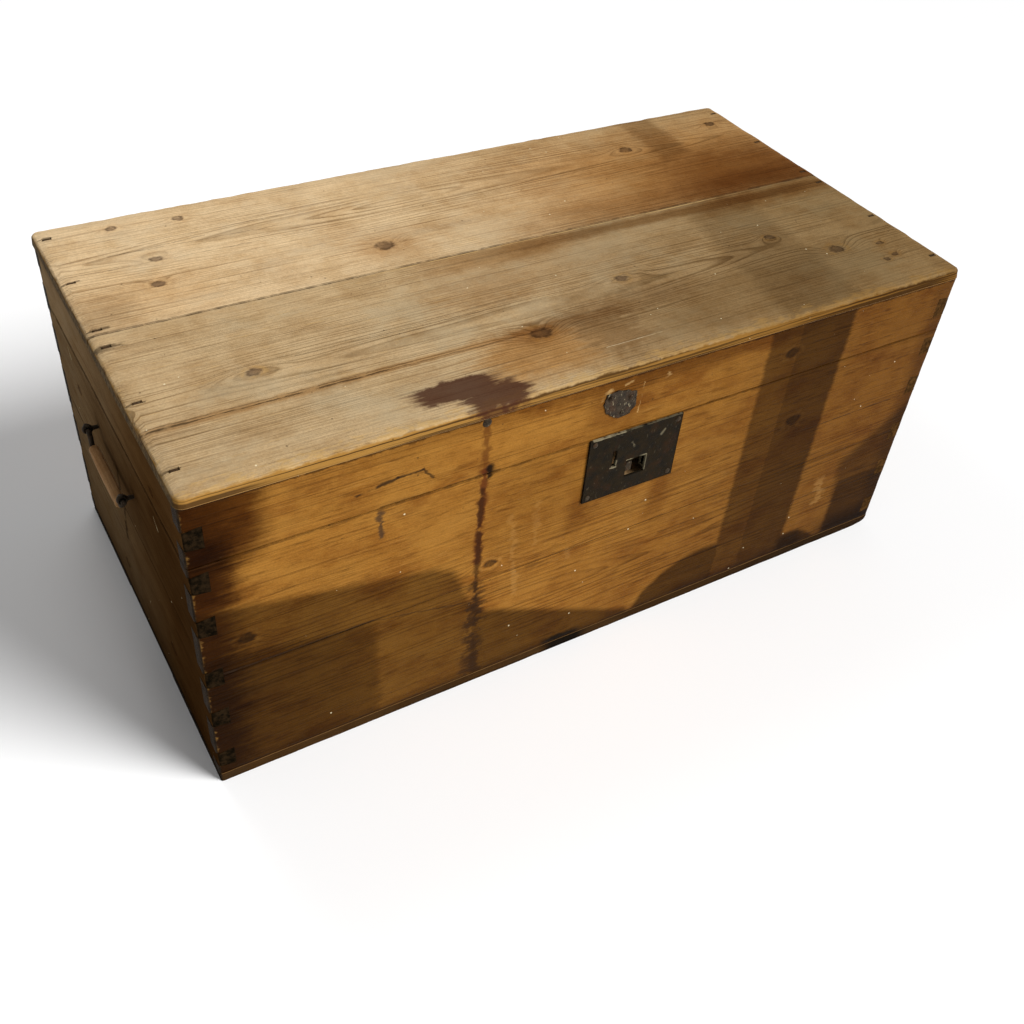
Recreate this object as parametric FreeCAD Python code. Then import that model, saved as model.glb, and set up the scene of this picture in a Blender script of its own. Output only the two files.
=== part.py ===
import FreeCAD, Part
import os

# Pine sea chest with a deep hinged lid.
# Millimetres. +X runs along the length, +Y to the back, +Z up.
# The origin is the middle of the underside.

# Case
body_length = 936.0
body_depth = 484.0
wall_thickness = 19.0
wall_height = 307.0
bottom_thickness = 13.0
lid_rail_height = 71.4
seam_gap = 0.6
corner_round = 3.0
side_joint_height = 154.0
end_joint_height = 182.0
bottom_board_count = 3
bottom_board_gap = 0.5
worn_round = 11.0

# Lid top, two boards that meet at a joint that is a little askew
top_thickness = 13.0
top_overhang = 2.0
top_corner_round = 6.0
top_edge_round = 4.0
top_joint_left = 18.0
top_joint_right = 14.0
top_joint_gap = 0.6

# Dovetails, with the pins on the end boards
pin_height = 21.0
pin_flare = 2.6
body_pin_shares = (0.08, 0.30, 0.50, 0.74, 0.93)
lid_pin_shares = (0.46,)

# Cut nails in the top and the bottom
nail_shank = 3.0
nail_length = 36.0
nail_head_length = 7.0
nail_head_width = 4.0
nail_head_height = 1.5
nail_inset = 14.0
top_nail_inset = 11.5
top_nail_shares = (-0.85, -0.42, -0.02, 0.11, 0.50, 0.90)
bottom_nail_shares = (-0.84, -0.50, -0.17, 0.17, 0.50, 0.84)
end_nail_shares = (-0.67, 0.0, 0.67)

# Round headed nails in the iron plates
tack_radius = 1.2
tack_length = 14.0
tack_head_radius = 3.3
tack_crown_radius = 2.0
tack_head_height = 1.3

# Large nail in the front rail of the lid
rail_nail_x = -168.7
rail_nail_drop = 6.0
rail_nail_radius = 1.7
rail_nail_length = 15.0
rail_nail_head_radius = 5.0
rail_nail_crown_radius = 2.0
rail_nail_head_height = 2.0

# Lock plate and its two holes, with places measured from the plate's middle and top
plate_x = 17.8
plate_margin = 10.25
plate_height = 86.0
plate_thickness = 2.5
plate_tack_inset = 6.5
keyhole_offset = -25.3
keyhole_drop = 23.5
keyhole_width = 5.0
keyhole_height = 22.0
keyhole_eye_radius = 3.2
slot_offset = 5.3
slot_drop = 43.5
slot_width = 25.0
slot_height = 22.5

# Lock case and the bolt behind the plate
case_width = 100.0
case_height = 68.0
case_depth = 24.0
case_wall = 2.0
case_drop = 6.0
case_clearance = 0.3
bolt_tail_room = 3.8
bolt_height = 12.0
bolt_thickness = 5.0
bolt_show = 9.0
bolt_clearance = 0.3
talon_width = 8.0
talon_depth = 4.0
talon_inset = 5.0
guide_width = 8.0
guide_wall = 3.0
guide_setback = 1.0
spring_thickness = 0.8
spring_foot = 5.0
spring_run = 16.0
spring_bow = 1.2

# Torn plate of the old hasp, whose outline is in shares of its width and height
hasp_x = -12.0
hasp_width = 46.0
hasp_height = 39.0
hasp_rise = 18.4
hasp_thickness = 1.6
hasp_outline_shares = (
    (0.04, 0.62), (0.10, 0.96), (0.38, 1.00), (0.70, 0.92), (0.98, 0.80),
    (1.00, 0.34), (0.86, 0.06), (0.52, 0.00), (0.30, 0.16), (0.14, 0.30),
)
hasp_tack_shares = ((0.24, 0.76), (0.80, 0.62), (0.62, 0.18))

# Butt hinges at the back
hinge_inset = 168.0
hinge_length = 76.0
leaf_depth = 17.0
leaf_thickness = 2.2
knuckle_radius = 4.5
knuckle_gap = 0.4
knuckle_clearance = 0.3
hinge_pin_radius = 2.2
hinge_pin_clearance = 0.05
hinge_pin_head_radius = 3.2
hinge_pin_head = 1.0
screw_radius = 1.8
screw_head_radius = 3.4
screw_length = 22.0
screw_row = 6.0
screw_shares = (-0.34, 0.0, 0.34)

# Drop handles on the ends, with places measured from the base and the end's face
handle_height = 264.0
handle_reach = 12.0
handle_drop = 17.0
handle_span = 108.0
bail_radius = 2.8
bail_bend = 5.0
bail_stub = 16.0
grip_length = 98.0
grip_radius = 6.0
grip_end_radius = 5.2
grip_clearance = 0.05
eye_radius = 6.0
eye_width = 6.0
eye_gap = 0.6
eye_clearance = 0.05
eye_shank_radius = 2.6
eye_shank_depth = 16.0

# Till inside the left end
till_width = 110.0
till_depth = 80.0
till_wall = 10.0
till_bottom_thickness = 9.0
till_lid_thickness = 10.0
till_drop = 48.0
till_groove = 4.0
till_lid_gap = 0.4
till_lid_overhang = 2.0
till_lid_end_gap = 6.0
till_pivot_inset = 8.5
till_pivot_radius = 4.0
till_pivot_clearance = 0.05
till_pivot_depth = 10.0
till_back_gap = 2.0

# Room that a cutting shape runs past the wood
overrun = 1.0

half_length = body_length / 2
half_depth = body_depth / 2
inner_x = half_length - wall_thickness
inner_y = half_depth - wall_thickness
rim = bottom_thickness + wall_height
lid_low = rim + seam_gap
lid_high = lid_low + lid_rail_height
crown = lid_high + top_thickness

UP = FreeCAD.Vector(0, 0, 1)
DOWN = FreeCAD.Vector(0, 0, -1)
BACKWARD = FreeCAD.Vector(0, 1, 0)
FORWARD = FreeCAD.Vector(0, -1, 0)


def block(x, y, z):
    """A box between the low and high places along each axis."""
    x, y, z = sorted(x), sorted(y), sorted(z)
    corner = FreeCAD.Vector(x[0], y[0], z[0])
    return Part.makeBox(x[1] - x[0], y[1] - y[0], z[1] - z[0], corner)


def prism(points, sweep):
    """A closed outline swept along a vector."""
    corners = [FreeCAD.Vector(*point) for point in points]
    outline = Part.makePolygon(corners + corners[:1])
    return Part.Face(outline).extrude(FreeCAD.Vector(*sweep))


def whole(shape):
    """The single solid of a shape, with its faces merged."""
    solids = shape.removeSplitter().Solids
    if len(solids) != 1:
        raise ValueError(f"expected one solid, found {len(solids)}")
    return solids[0]


def save(node, *solids):
    """Write one piece, or a group of like pieces, under its node name."""
    shape = solids[0] if len(solids) == 1 else Part.makeCompound(list(solids))
    shape.exportStep(f"parts/{node}.step")


def upright_edges(shape):
    """The vertical edges of a plain block."""
    return [edge for edge in shape.Edges if abs(edge.tangentAt(edge.FirstParameter).z) > 0.5]


def rounded_block(x, y, z, radius):
    """A box with rounded upright edges."""
    plain = block(x, y, z)
    return plain.makeFillet(radius, upright_edges(plain))


def corner_pins(low, high, shares, side_x, side_y):
    """The tapered pins of one corner: narrow outside, wide at the root."""
    outer_half = pin_height / 2
    root_half = outer_half + pin_flare
    start_y = side_y * inner_y
    pins = []
    for share in shares:
        middle = low + share * (high - low)
        outline = [
            (side_x * half_length, start_y, middle - outer_half),
            (side_x * half_length, start_y, middle + outer_half),
            (side_x * inner_x, start_y, middle + root_half),
            (side_x * inner_x, start_y, middle - root_half),
        ]
        pins.append(prism(outline, (0, side_y * wall_thickness, 0)))
    return pins


def dovetailed_frame(low, high, shares):
    """Four walls that lock at their corners, between two heights."""
    outside = rounded_block(
        (-half_length, half_length), (-half_depth, half_depth), (low, high), corner_round
    )
    pins = {
        (side_x, side_y): corner_pins(low, high, shares, side_x, side_y)
        for side_x in (-1, 1)
        for side_y in (-1, 1)
    }
    walls = {}
    for name, side in (("left", -1), ("right", 1)):
        core = block((side * inner_x, side * half_length), (-inner_y, inner_y), (low, high))
        walls[name] = whole(core.fuse(pins[side, -1] + pins[side, 1]).common(outside))
    for name, side in (("front", -1), ("back", 1)):
        board = block((-half_length, half_length), (side * inner_y, side * half_depth), (low, high))
        walls[name] = whole(board.cut(pins[-1, side] + pins[1, side]).common(outside))
    return walls


def split_at(shape, height):
    """The lower and upper boards of a wall that is joined at a height."""
    box = shape.BoundBox
    x, y = (box.XMin, box.XMax), (box.YMin, box.YMax)
    lower = shape.common(block(x, y, (box.ZMin, height)))
    upper = shape.common(block(x, y, (height, box.ZMax)))
    return whole(lower), whole(upper)


def cut_nail(x, y, surface, up, lengthwise):
    """A square nail whose head lies flush in a level surface."""
    side = 1 if up else -1
    along, across = nail_head_length / 2, nail_head_width / 2
    half_x, half_y = (along, across) if lengthwise else (across, along)
    neck = surface + side * nail_head_height
    half = nail_shank / 2
    head = block((x - half_x, x + half_x), (y - half_y, y + half_y), (surface, neck))
    shank = block((x - half, x + half), (y - half, y + half), (neck, neck + side * nail_length))
    return whole(head.fuse(shank))


def tack(point, inward):
    """A round headed nail that stands on a plate and points inward."""
    shank = Part.makeCylinder(tack_radius, tack_length, point, inward)
    head = Part.makeCone(tack_head_radius, tack_crown_radius, tack_head_height, point, -inward)
    return whole(shank.fuse(head))


def rail_nail():
    """The large nail just under the top board."""
    point = FreeCAD.Vector(rail_nail_x, -half_depth, lid_high - rail_nail_drop)
    shank = Part.makeCylinder(rail_nail_radius, rail_nail_length, point, BACKWARD)
    head = Part.makeCone(
        rail_nail_head_radius, rail_nail_crown_radius, rail_nail_head_height, point, FORWARD
    )
    return whole(shank.fuse(head))


def top_boards():
    """The two lid boards, from one slab with worn edges."""
    reach_x = half_length + top_overhang
    reach_y = half_depth + top_overhang
    slab = rounded_block((-reach_x, reach_x), (-reach_y, reach_y), (lid_high, crown), top_corner_round)
    upper = [edge for edge in slab.Edges if edge.BoundBox.ZMin > crown - top_edge_round]
    slab = slab.makeFillet(top_edge_round, upper)
    half_gap = top_joint_gap / 2
    boards = []
    for side in (-1, 1):
        outline = [
            (-reach_x, side * reach_y, lid_high),
            (reach_x, side * reach_y, lid_high),
            (reach_x, top_joint_right + side * half_gap, lid_high),
            (-reach_x, top_joint_left + side * half_gap, lid_high),
        ]
        boards.append(whole(slab.common(prism(outline, (0, 0, top_thickness)))))
    return boards


def top_nails():
    """Nails through the top boards into the end rails."""
    x = half_length - top_nail_inset
    return [
        cut_nail(side * x, share * half_depth, crown, False, True)
        for side in (-1, 1)
        for share in top_nail_shares
    ]


def bottom_boards():
    """Long boards under the walls, worn round at the right end."""
    x, y, z = (-half_length, half_length), (-half_depth, half_depth), (0, bottom_thickness)
    slab = block(x, y, z)
    worn = [
        edge for edge in slab.Edges
        if edge.BoundBox.XMin > inner_x and edge.BoundBox.ZMax < bottom_thickness
    ]
    slab = slab.makeFillet(worn_round, worn).common(rounded_block(x, y, z, corner_round))
    pitch = (body_depth + bottom_board_gap) / bottom_board_count
    boards = []
    for place in range(bottom_board_count):
        front = -half_depth + place * pitch
        strip = block(x, (front, front + pitch - bottom_board_gap), z)
        boards.append(whole(slab.common(strip)))
    return boards


def bottom_nails():
    """Nails up through the bottom boards into the walls."""
    nails = []
    for side in (-1, 1):
        y = side * (half_depth - nail_inset)
        nails += [cut_nail(share * half_length, y, 0, True, True) for share in bottom_nail_shares]
        x = side * (half_length - nail_inset)
        nails += [cut_nail(x, share * half_depth, 0, True, False) for share in end_nail_shares]
    return nails


# Places of the lock, from the plate's middle and top edge
plate_width = case_width + plate_margin * 2
plate_top = rim
plate_back = -half_depth
keyhole_x = plate_x + keyhole_offset
slot_x = plate_x + slot_offset
slot_left = slot_x - slot_width / 2
slot_right = slot_x + slot_width / 2
slot_middle = plate_top - slot_drop - slot_height / 2
case_top = plate_top - case_drop
case_low = case_top - case_height
bolt_tip = slot_left + bolt_show
bolt_tail = plate_x - case_width / 2 + case_wall + bolt_tail_room
bolt_low = slot_middle - bolt_height / 2
bolt_high = slot_middle + bolt_height / 2
bolt_face = plate_back + bolt_clearance
bolt_back = bolt_face + bolt_thickness


def lock_plate_tacks():
    """One round headed nail near each corner of the plate."""
    half = plate_width / 2 - plate_tack_inset
    low = plate_top - plate_height + plate_tack_inset
    high = plate_top - plate_tack_inset
    face = plate_back - plate_thickness
    return [
        tack(FreeCAD.Vector(plate_x + side * half, face, z), BACKWARD)
        for side in (-1, 1)
        for z in (low, high)
    ]


def lock_plate(tacks):
    """The face plate with a keyhole and a slot for the hasp's staple."""
    face = plate_back - plate_thickness
    half = plate_width / 2
    plate_low = plate_top - plate_height
    plate = block((plate_x - half, plate_x + half), (face, plate_back), (plate_low, plate_top))
    through = (face - overrun, plate_back + overrun)
    eye_height = plate_top - keyhole_drop - keyhole_eye_radius
    half_bit = keyhole_width / 2
    bit = block(
        (keyhole_x - half_bit, keyhole_x + half_bit), through,
        (plate_top - keyhole_drop - keyhole_height, eye_height),
    )
    eye_start = FreeCAD.Vector(keyhole_x, through[0], eye_height)
    eye = Part.makeCylinder(keyhole_eye_radius, through[1] - through[0], eye_start, BACKWARD)
    slot_low = plate_top - slot_drop - slot_height
    slot = block((slot_left, slot_right), through, (slot_low, plate_top - slot_drop))
    return whole(plate.cut([bit.fuse(eye), slot] + tacks))


def case_block(grow):
    """The outside of the lock case, or the mortise for it."""
    half = case_width / 2 + grow
    return block(
        (plate_x - half, plate_x + half), (plate_back, plate_back + case_depth),
        (case_low - grow, case_top + grow),
    )


def lock_case():
    """A shallow iron pan that closes the lock from behind."""
    half = case_width / 2 - case_wall
    hollow = block(
        (plate_x - half, plate_x + half), (plate_back, plate_back + case_depth - case_wall),
        (case_low + case_wall, case_top - case_wall),
    )
    return whole(case_block(0).cut(hollow))


def bolt_guides():
    """Two iron bridges on the plate's back that the bolt slides through."""
    room_low = bolt_low - bolt_clearance
    room_high = bolt_high + bolt_clearance
    room_back = bolt_back + bolt_clearance
    guides = []
    for start in (slot_left - guide_setback - guide_width, slot_right + guide_setback):
        x = (start, start + guide_width)
        z = (room_low - guide_wall, room_high + guide_wall)
        bridge = block(x, (plate_back, room_back + guide_wall), z)
        guides.append(whole(bridge.cut(block(x, (plate_back, room_back), (room_low, room_high)))))
    return guides


def lock_bolt():
    """The sliding bar, with a notch that the key's bit pushes."""
    bar = block((bolt_tail, bolt_tip), (bolt_face, bolt_back), (bolt_low, bolt_high))
    start = bolt_tail + talon_inset
    talon = block(
        (start, start + talon_width), (bolt_face, bolt_back), (bolt_high - talon_depth, bolt_high)
    )
    return whole(bar.cut(talon))


def bolt_spring():
    """A feather spring under the bolt's tail that rubs along the case."""
    floor = case_low + case_wall + bolt_clearance
    left = bolt_tail
    step = left + spring_foot
    run_top = floor + spring_thickness + spring_bow
    end = step + spring_run
    outline = [
        (left, bolt_face, bolt_low),
        (step, bolt_face, bolt_low),
        (step, bolt_face, run_top),
        (step + spring_run / 2, bolt_face, floor + spring_thickness),
        (end, bolt_face, run_top),
        (end, bolt_face, run_top - spring_thickness),
        (step + spring_run / 2, bolt_face, floor),
        (step - spring_thickness, bolt_face, run_top - spring_thickness),
        (step - spring_thickness, bolt_face, bolt_low - spring_thickness),
        (left, bolt_face, bolt_low - spring_thickness),
    ]
    return prism(outline, (0, bolt_thickness, 0))


def hasp_place(share):
    """A point of the hasp plate's face from shares of its width and height."""
    x = hasp_x + (share[0] - 0.5) * hasp_width
    return x, lid_low + hasp_rise + share[1] * hasp_height


def hasp_tacks():
    """Nails that still hold the torn plate."""
    places = [hasp_place(share) for share in hasp_tack_shares]
    face = -half_depth - hasp_thickness
    return [tack(FreeCAD.Vector(x, face, z), BACKWARD) for x, z in places]


def hasp_plate(tacks):
    """What is left of the hasp's upper plate."""
    points = [hasp_place(share) for share in hasp_outline_shares]
    outline = [(x, -half_depth, z) for x, z in points]
    return whole(prism(outline, (0, -hasp_thickness, 0)).cut(tacks))


# Line that the lid turns about, on the back face at the seam
hinge_x = half_length - hinge_inset
axis_y = half_depth
axis_z = rim + seam_gap / 2


def along_axis(radius, x_low, x_high):
    """A cylinder round the hinge line."""
    start = FreeCAD.Vector(x_low, axis_y, axis_z)
    return Part.makeCylinder(radius, x_high - x_low, start, FreeCAD.Vector(1, 0, 0))


def knuckle_spans(middle):
    """The places of the three knuckles of one hinge."""
    low = middle - hinge_length / 2
    third = hinge_length / 3
    half_gap = knuckle_gap / 2
    return [
        (low, low + third - half_gap),
        (low + third + half_gap, low + third * 2 - half_gap),
        (low + third * 2 + half_gap, low + hinge_length),
    ]


def leaf_block(middle, upper):
    """The flat part of a leaf, let in flush at the seam."""
    half = hinge_length / 2
    z = (lid_low, lid_low + leaf_thickness) if upper else (rim - leaf_thickness, rim)
    return block((middle - half, middle + half), (axis_y - leaf_depth, axis_y), z)


def hinge_screws(middle, upper):
    """Flat headed screws of one leaf."""
    face = lid_low if upper else rim
    way = UP if upper else DOWN
    row = axis_y - leaf_depth + screw_row
    screws = []
    for share in screw_shares:
        point = FreeCAD.Vector(middle + share * hinge_length, row, face)
        head = Part.makeCone(screw_head_radius, screw_radius, leaf_thickness, point, way)
        screws.append(whole(head.fuse(Part.makeCylinder(screw_radius, screw_length, point, way))))
    return screws


def hinge_leaf(middle, upper, screws):
    """One leaf with its own knuckles, cleared for the other leaf's."""
    spans = knuckle_spans(middle)
    own = spans[1:2] if upper else spans[0::2]
    other = spans[0::2] if upper else spans[1:2]
    leaf = leaf_block(middle, upper)
    cleared = [
        along_axis(knuckle_radius + knuckle_clearance, low - knuckle_gap, high + knuckle_gap)
        for low, high in other
    ]
    leaf = leaf.cut(cleared)
    leaf = leaf.fuse([along_axis(knuckle_radius, low, high) for low, high in own])
    half = hinge_length / 2 + overrun
    bore = along_axis(hinge_pin_radius + hinge_pin_clearance, middle - half, middle + half)
    return whole(leaf.cut([bore] + screws))


def hinge_pin(middle):
    """The pin of one hinge, headed over at both ends."""
    half = hinge_length / 2
    pin = along_axis(hinge_pin_radius, middle - half, middle + half)
    left_head = along_axis(hinge_pin_head_radius, middle - half - hinge_pin_head, middle - half)
    right_head = along_axis(hinge_pin_head_radius, middle + half, middle + half + hinge_pin_head)
    return whole(pin.fuse([left_head, right_head]))


def hinge_room(middle):
    """The hollow that the barrel turns in."""
    half = hinge_length / 2 + hinge_pin_head + knuckle_clearance
    return along_axis(knuckle_radius + knuckle_clearance, middle - half, middle + half)


def handle_point(side, y, height):
    """A point in the upright plane that a hanging handle lies in."""
    return FreeCAD.Vector(side * (half_length + handle_reach), y, height)


def handle_eyes(side):
    """Two iron eyes, each driven into the end by its shank."""
    start = handle_span / 2 + bail_bend + eye_gap
    bore_radius = bail_radius + eye_clearance
    inward = FreeCAD.Vector(-side, 0, 0)
    eyes = []
    for low in (start, -start - eye_width):
        ring = Part.makeCylinder(eye_radius, eye_width, handle_point(side, low, handle_height), BACKWARD)
        middle = handle_point(side, low + eye_width / 2, handle_height)
        shank = Part.makeCylinder(eye_shank_radius, handle_reach + eye_shank_depth, middle, inward)
        bore = Part.makeCylinder(bore_radius, eye_width, handle_point(side, low, handle_height), BACKWARD)
        eyes.append(whole(ring.fuse(shank).cut(bore)))
    return eyes


def handle_bail(side):
    """One iron bar: a stub in each eye, two short arms and a straight run below."""
    half = handle_span / 2
    low = handle_height - handle_drop
    corners = [
        (-half - bail_stub, handle_height), (-half, handle_height), (-half, low),
        (half, low), (half, handle_height), (half + bail_stub, handle_height),
    ]
    points = [handle_point(side, y, z) for y, z in corners]
    edges = []
    start = points[0]
    for before, corner, after in zip(points, points[1:], points[2:]):
        back = (before - corner).normalize()
        ahead = (after - corner).normalize()
        enter = corner + back * bail_bend
        leave = corner + ahead * bail_bend
        centre = enter + ahead * bail_bend
        middle = centre - (back + ahead).normalize() * bail_bend
        edges.append(Part.LineSegment(start, enter).toShape())
        edges.append(Part.Arc(enter, middle, leave).toShape())
        start = leave
    edges.append(Part.LineSegment(start, points[-1]).toShape())
    section = Part.Wire(Part.makeCircle(bail_radius, points[0], BACKWARD))
    return Part.Wire(edges).makePipeShell([section], True, False)


def handle_grip(side):
    """A turned wooden grip, fuller in the middle, bored for the bar."""
    half = grip_length / 2
    low = handle_height - handle_drop
    bore = bail_radius + grip_clearance
    corners = [
        handle_point(side, y, low + radius)
        for y, radius in (
            (-half, bore), (-half, grip_end_radius), (0, grip_radius), (half, grip_end_radius), (half, bore)
        )
    ]
    outline = Part.Wire([
        Part.LineSegment(corners[0], corners[1]).toShape(),
        Part.Arc(corners[1], corners[2], corners[3]).toShape(),
        Part.LineSegment(corners[3], corners[4]).toShape(),
        Part.LineSegment(corners[4], corners[0]).toShape(),
    ])
    return Part.Face(outline).revolve(handle_point(side, 0, low), BACKWARD, 360)


# Heights of the till, downwards from the rim
till_lid_high = rim - till_drop
till_lid_low = till_lid_high - till_lid_thickness
till_wall_high = till_lid_low - till_lid_gap
till_floor = till_wall_high - till_depth
till_front_x = -inner_x + till_width
till_pivot_x = -inner_x + till_pivot_inset
till_pivot_z = till_lid_low + till_lid_thickness / 2


def till_front():
    """The board along the open side of the till."""
    reach = inner_y + till_groove
    return block((till_front_x, till_front_x + till_wall), (-reach, reach), (till_floor, till_wall_high))


def till_bottom():
    """The till's floor, let into the walls on three sides."""
    reach = inner_y + till_groove
    x = (-inner_x - till_groove, till_front_x + till_wall)
    return block(x, (-reach, reach), (till_floor - till_bottom_thickness, till_floor))


def pivot_rod(radius, reach):
    """A round bar along the till lid's turning line."""
    start = FreeCAD.Vector(till_pivot_x, -reach, till_pivot_z)
    return Part.makeCylinder(radius, reach * 2, start, BACKWARD)


def till_lid():
    """A board with a round pivot carved at each end of its back edge."""
    reach = inner_y - till_lid_end_gap
    x = (-inner_x + till_back_gap, till_front_x + till_wall + till_lid_overhang)
    board = block(x, (-reach, reach), (till_lid_low, till_lid_high))
    return whole(board.fuse(pivot_rod(till_pivot_radius, inner_y + till_pivot_depth)))


def till_pivot_holes():
    """Holes in the front and back that the pivots turn in."""
    return pivot_rod(till_pivot_radius + till_pivot_clearance, inner_y + till_pivot_depth + overrun)


def build():
    """Make every piece, cut its seats and write it."""
    os.makedirs("parts", exist_ok=True)

    walls = dovetailed_frame(bottom_thickness, rim, body_pin_shares)
    rails = dovetailed_frame(lid_low, lid_high, lid_pin_shares)
    floor_nails = bottom_nails()
    crown_nails = top_nails()
    plate_tacks = lock_plate_tacks()
    torn_tacks = hasp_tacks()
    drip_nail = rail_nail()
    hinges = {"left": -hinge_x, "right": hinge_x}
    screws = {
        upper: [screw for middle in hinges.values() for screw in hinge_screws(middle, upper)]
        for upper in (False, True)
    }
    leaves = {upper: [leaf_block(middle, upper) for middle in hinges.values()] for upper in (False, True)}
    barrels = [hinge_room(middle) for middle in hinges.values()]
    eyes = {"left": handle_eyes(-1), "right": handle_eyes(1)}
    till_pieces = [till_front(), till_bottom()]

    seats = {
        "front": [case_block(case_clearance)] + plate_tacks + till_pieces + [till_pivot_holes()],
        "back": leaves[False] + barrels + screws[False] + till_pieces + [till_pivot_holes()],
        "left": eyes["left"] + till_pieces,
        "right": eyes["right"],
    }
    for name, cuts in seats.items():
        wall = whole(walls[name].cut(floor_nails + cuts))
        joint = end_joint_height if name in ("left", "right") else side_joint_height
        lower, upper = split_at(wall, bottom_thickness + joint)
        kind = "end" if name in ("left", "right") else "board"
        save(f"{name}_{kind}_lower", lower)
        save(f"{name}_{kind}_upper", upper)

    for name, board in zip(("front", "middle", "rear"), bottom_boards()):
        save(f"bottom_board_{name}", whole(board.cut(floor_nails)))
    save("bottom_nails", *floor_nails)

    rail_seats = {
        "front": [drip_nail] + torn_tacks,
        "back": leaves[True] + barrels + screws[True],
        "left": crown_nails,
        "right": crown_nails,
    }
    for name, cuts in rail_seats.items():
        save(f"lid_{name}_rail", whole(rails[name].cut(cuts)))
    for name, board in zip(("front", "rear"), top_boards()):
        save(f"top_board_{name}", whole(board.cut(crown_nails)))
    save("top_nails", *crown_nails)
    save("rail_nail", drip_nail)
    save("hasp_plate", hasp_plate(torn_tacks))
    save("hasp_plate_nails", *torn_tacks)

    save("lock_plate", lock_plate(plate_tacks))
    save("lock_plate_nails", *plate_tacks)
    save("lock_case", lock_case())
    save("bolt_guides", *bolt_guides())
    save("lock_bolt", lock_bolt())
    save("bolt_spring", bolt_spring())

    for name, middle in hinges.items():
        save(f"{name}_hinge_body_leaf", hinge_leaf(middle, False, screws[False]))
        save(f"{name}_hinge_lid_leaf", hinge_leaf(middle, True, screws[True]))
        save(f"{name}_hinge_pin", hinge_pin(middle))
    save("body_leaf_screws", *screws[False])
    save("lid_leaf_screws", *screws[True])

    for name, side in (("left", -1), ("right", 1)):
        save(f"{name}_handle_bail", handle_bail(side))
        save(f"{name}_handle_grip", handle_grip(side))
        save(f"{name}_handle_eyes", *eyes[name])

    save("till_front", till_pieces[0])
    save("till_bottom", till_pieces[1])
    save("till_lid", till_lid())


build()
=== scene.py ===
# %% [markdown]
# # Dressing an old pine sea chest
# The chest was built in CAD first, so its sizes, joints and moving parts are settled.
# Here it gets its looks: worn boards, dovetailed corners, dark iron, a hundred years of stains and some
# painted shadows.
# We load the CAD model, bake each part's place into its mesh and drop the empties.

# %% Load the chest
import math
from collections import namedtuple
from functools import partialmethod

import bmesh
import bpy
from mathutils import Matrix, Vector


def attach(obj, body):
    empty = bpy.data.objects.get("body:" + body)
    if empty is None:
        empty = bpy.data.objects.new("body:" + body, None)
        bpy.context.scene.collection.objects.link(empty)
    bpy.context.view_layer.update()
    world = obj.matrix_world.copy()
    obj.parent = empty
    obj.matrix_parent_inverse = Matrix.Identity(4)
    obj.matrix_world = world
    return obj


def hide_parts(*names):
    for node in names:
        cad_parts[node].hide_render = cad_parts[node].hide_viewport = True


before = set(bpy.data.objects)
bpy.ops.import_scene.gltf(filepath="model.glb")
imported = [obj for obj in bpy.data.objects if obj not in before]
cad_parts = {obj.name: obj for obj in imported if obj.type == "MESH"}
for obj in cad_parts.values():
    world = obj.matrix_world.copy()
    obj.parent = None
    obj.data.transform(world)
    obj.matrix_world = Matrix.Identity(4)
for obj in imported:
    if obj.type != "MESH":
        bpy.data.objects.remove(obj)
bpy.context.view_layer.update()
mm = 0.001

# %% [markdown]
# ## The camera
# A photograph is matched by giving the camera the same place, the same three turns and the same lens.
# The turns are applied in order: round the room, down towards the chest, then a small roll of the hand.

# %% Stand the camera where the photographer stood
quarter_turn = math.radians(90)
heading, dip, roll = (math.radians(turn) for turn in (34.288, 42.237, 5.755))
camera_place = (-0.62498, -0.96748, 1.05328)
lens_length, film_width = 40.164, 36.0
bpy.ops.object.camera_add()
camera = bpy.context.object
camera.name = "photo_camera"
camera.data.lens = lens_length
camera.data.sensor_width = film_width
turns = (
    Matrix.Rotation(-heading, 4, "Z")
    @ Matrix.Rotation(quarter_turn - dip, 4, "X")
    @ Matrix.Rotation(roll, 4, "Z")
)
camera.matrix_world = Matrix.Translation(camera_place) @ turns
bpy.context.scene.camera = camera
print("camera at", tuple(round(v, 3) for v in camera.location))

# %% [markdown]
# ## Floor and light
# A pale floor and soft light keep the attention on the wood.
# A wide sun from the right front is even over the whole floor, so the floor stays white.
# It leaves the left end in shade and lays a soft shadow beside it.
# A lamp overhead brightens the lid's left rear.

# %% Lay the floor
floor_size, floor_white, floor_roughness = 24, 0.93, 0.9


def start_material(name):
    """A new material and the sockets of its shader."""
    material = bpy.data.materials.new(name)
    material.use_nodes = True
    return material, material.node_tree.nodes["Principled BSDF"].inputs


bpy.ops.object.select_all(action="DESELECT")
bpy.ops.mesh.primitive_plane_add(size=floor_size)
floor = bpy.context.object
floor.name = "studio_floor"
floor_paint, floor_sockets = start_material("floor_paint")
floor_sockets["Base Color"].default_value = (floor_white, floor_white, floor_white, 1)
floor_sockets["Roughness"].default_value = floor_roughness
floor.data.materials.append(floor_paint)
print("floor laid,", floor_size, "m wide")

# %% Hang the lamps
sky_strength = 0.22
lamp_aim = Vector((0, 0, 0.2))
world = bpy.data.worlds.new("studio_world")
world.use_nodes = True
sky = world.node_tree.nodes["Background"].inputs
sky["Color"].default_value = (1.0, 1.0, 1.0, 1)
sky["Strength"].default_value = sky_strength
bpy.context.scene.world = world
bpy.context.scene.view_settings.view_transform = "Standard"

for kind, name, place, spread_name, spread, power in (
    ("SUN", "key_sun", (1.25, -1.35, 1.6), "angle", math.radians(32), 4.45),
    ("AREA", "top_lamp", (-0.42, 0.55, 1.5), "size", 0.5, 5.0),
):
    bpy.ops.object.light_add(type=kind, location=place)
    lamp = bpy.context.object
    lamp.name = name
    lamp.data.energy = power
    setattr(lamp.data, spread_name, spread)
    lamp.rotation_euler = (lamp_aim - Vector(place)).to_track_quat("-Z", "Y").to_euler()
    print(name, "points at the chest with strength", power)

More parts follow.
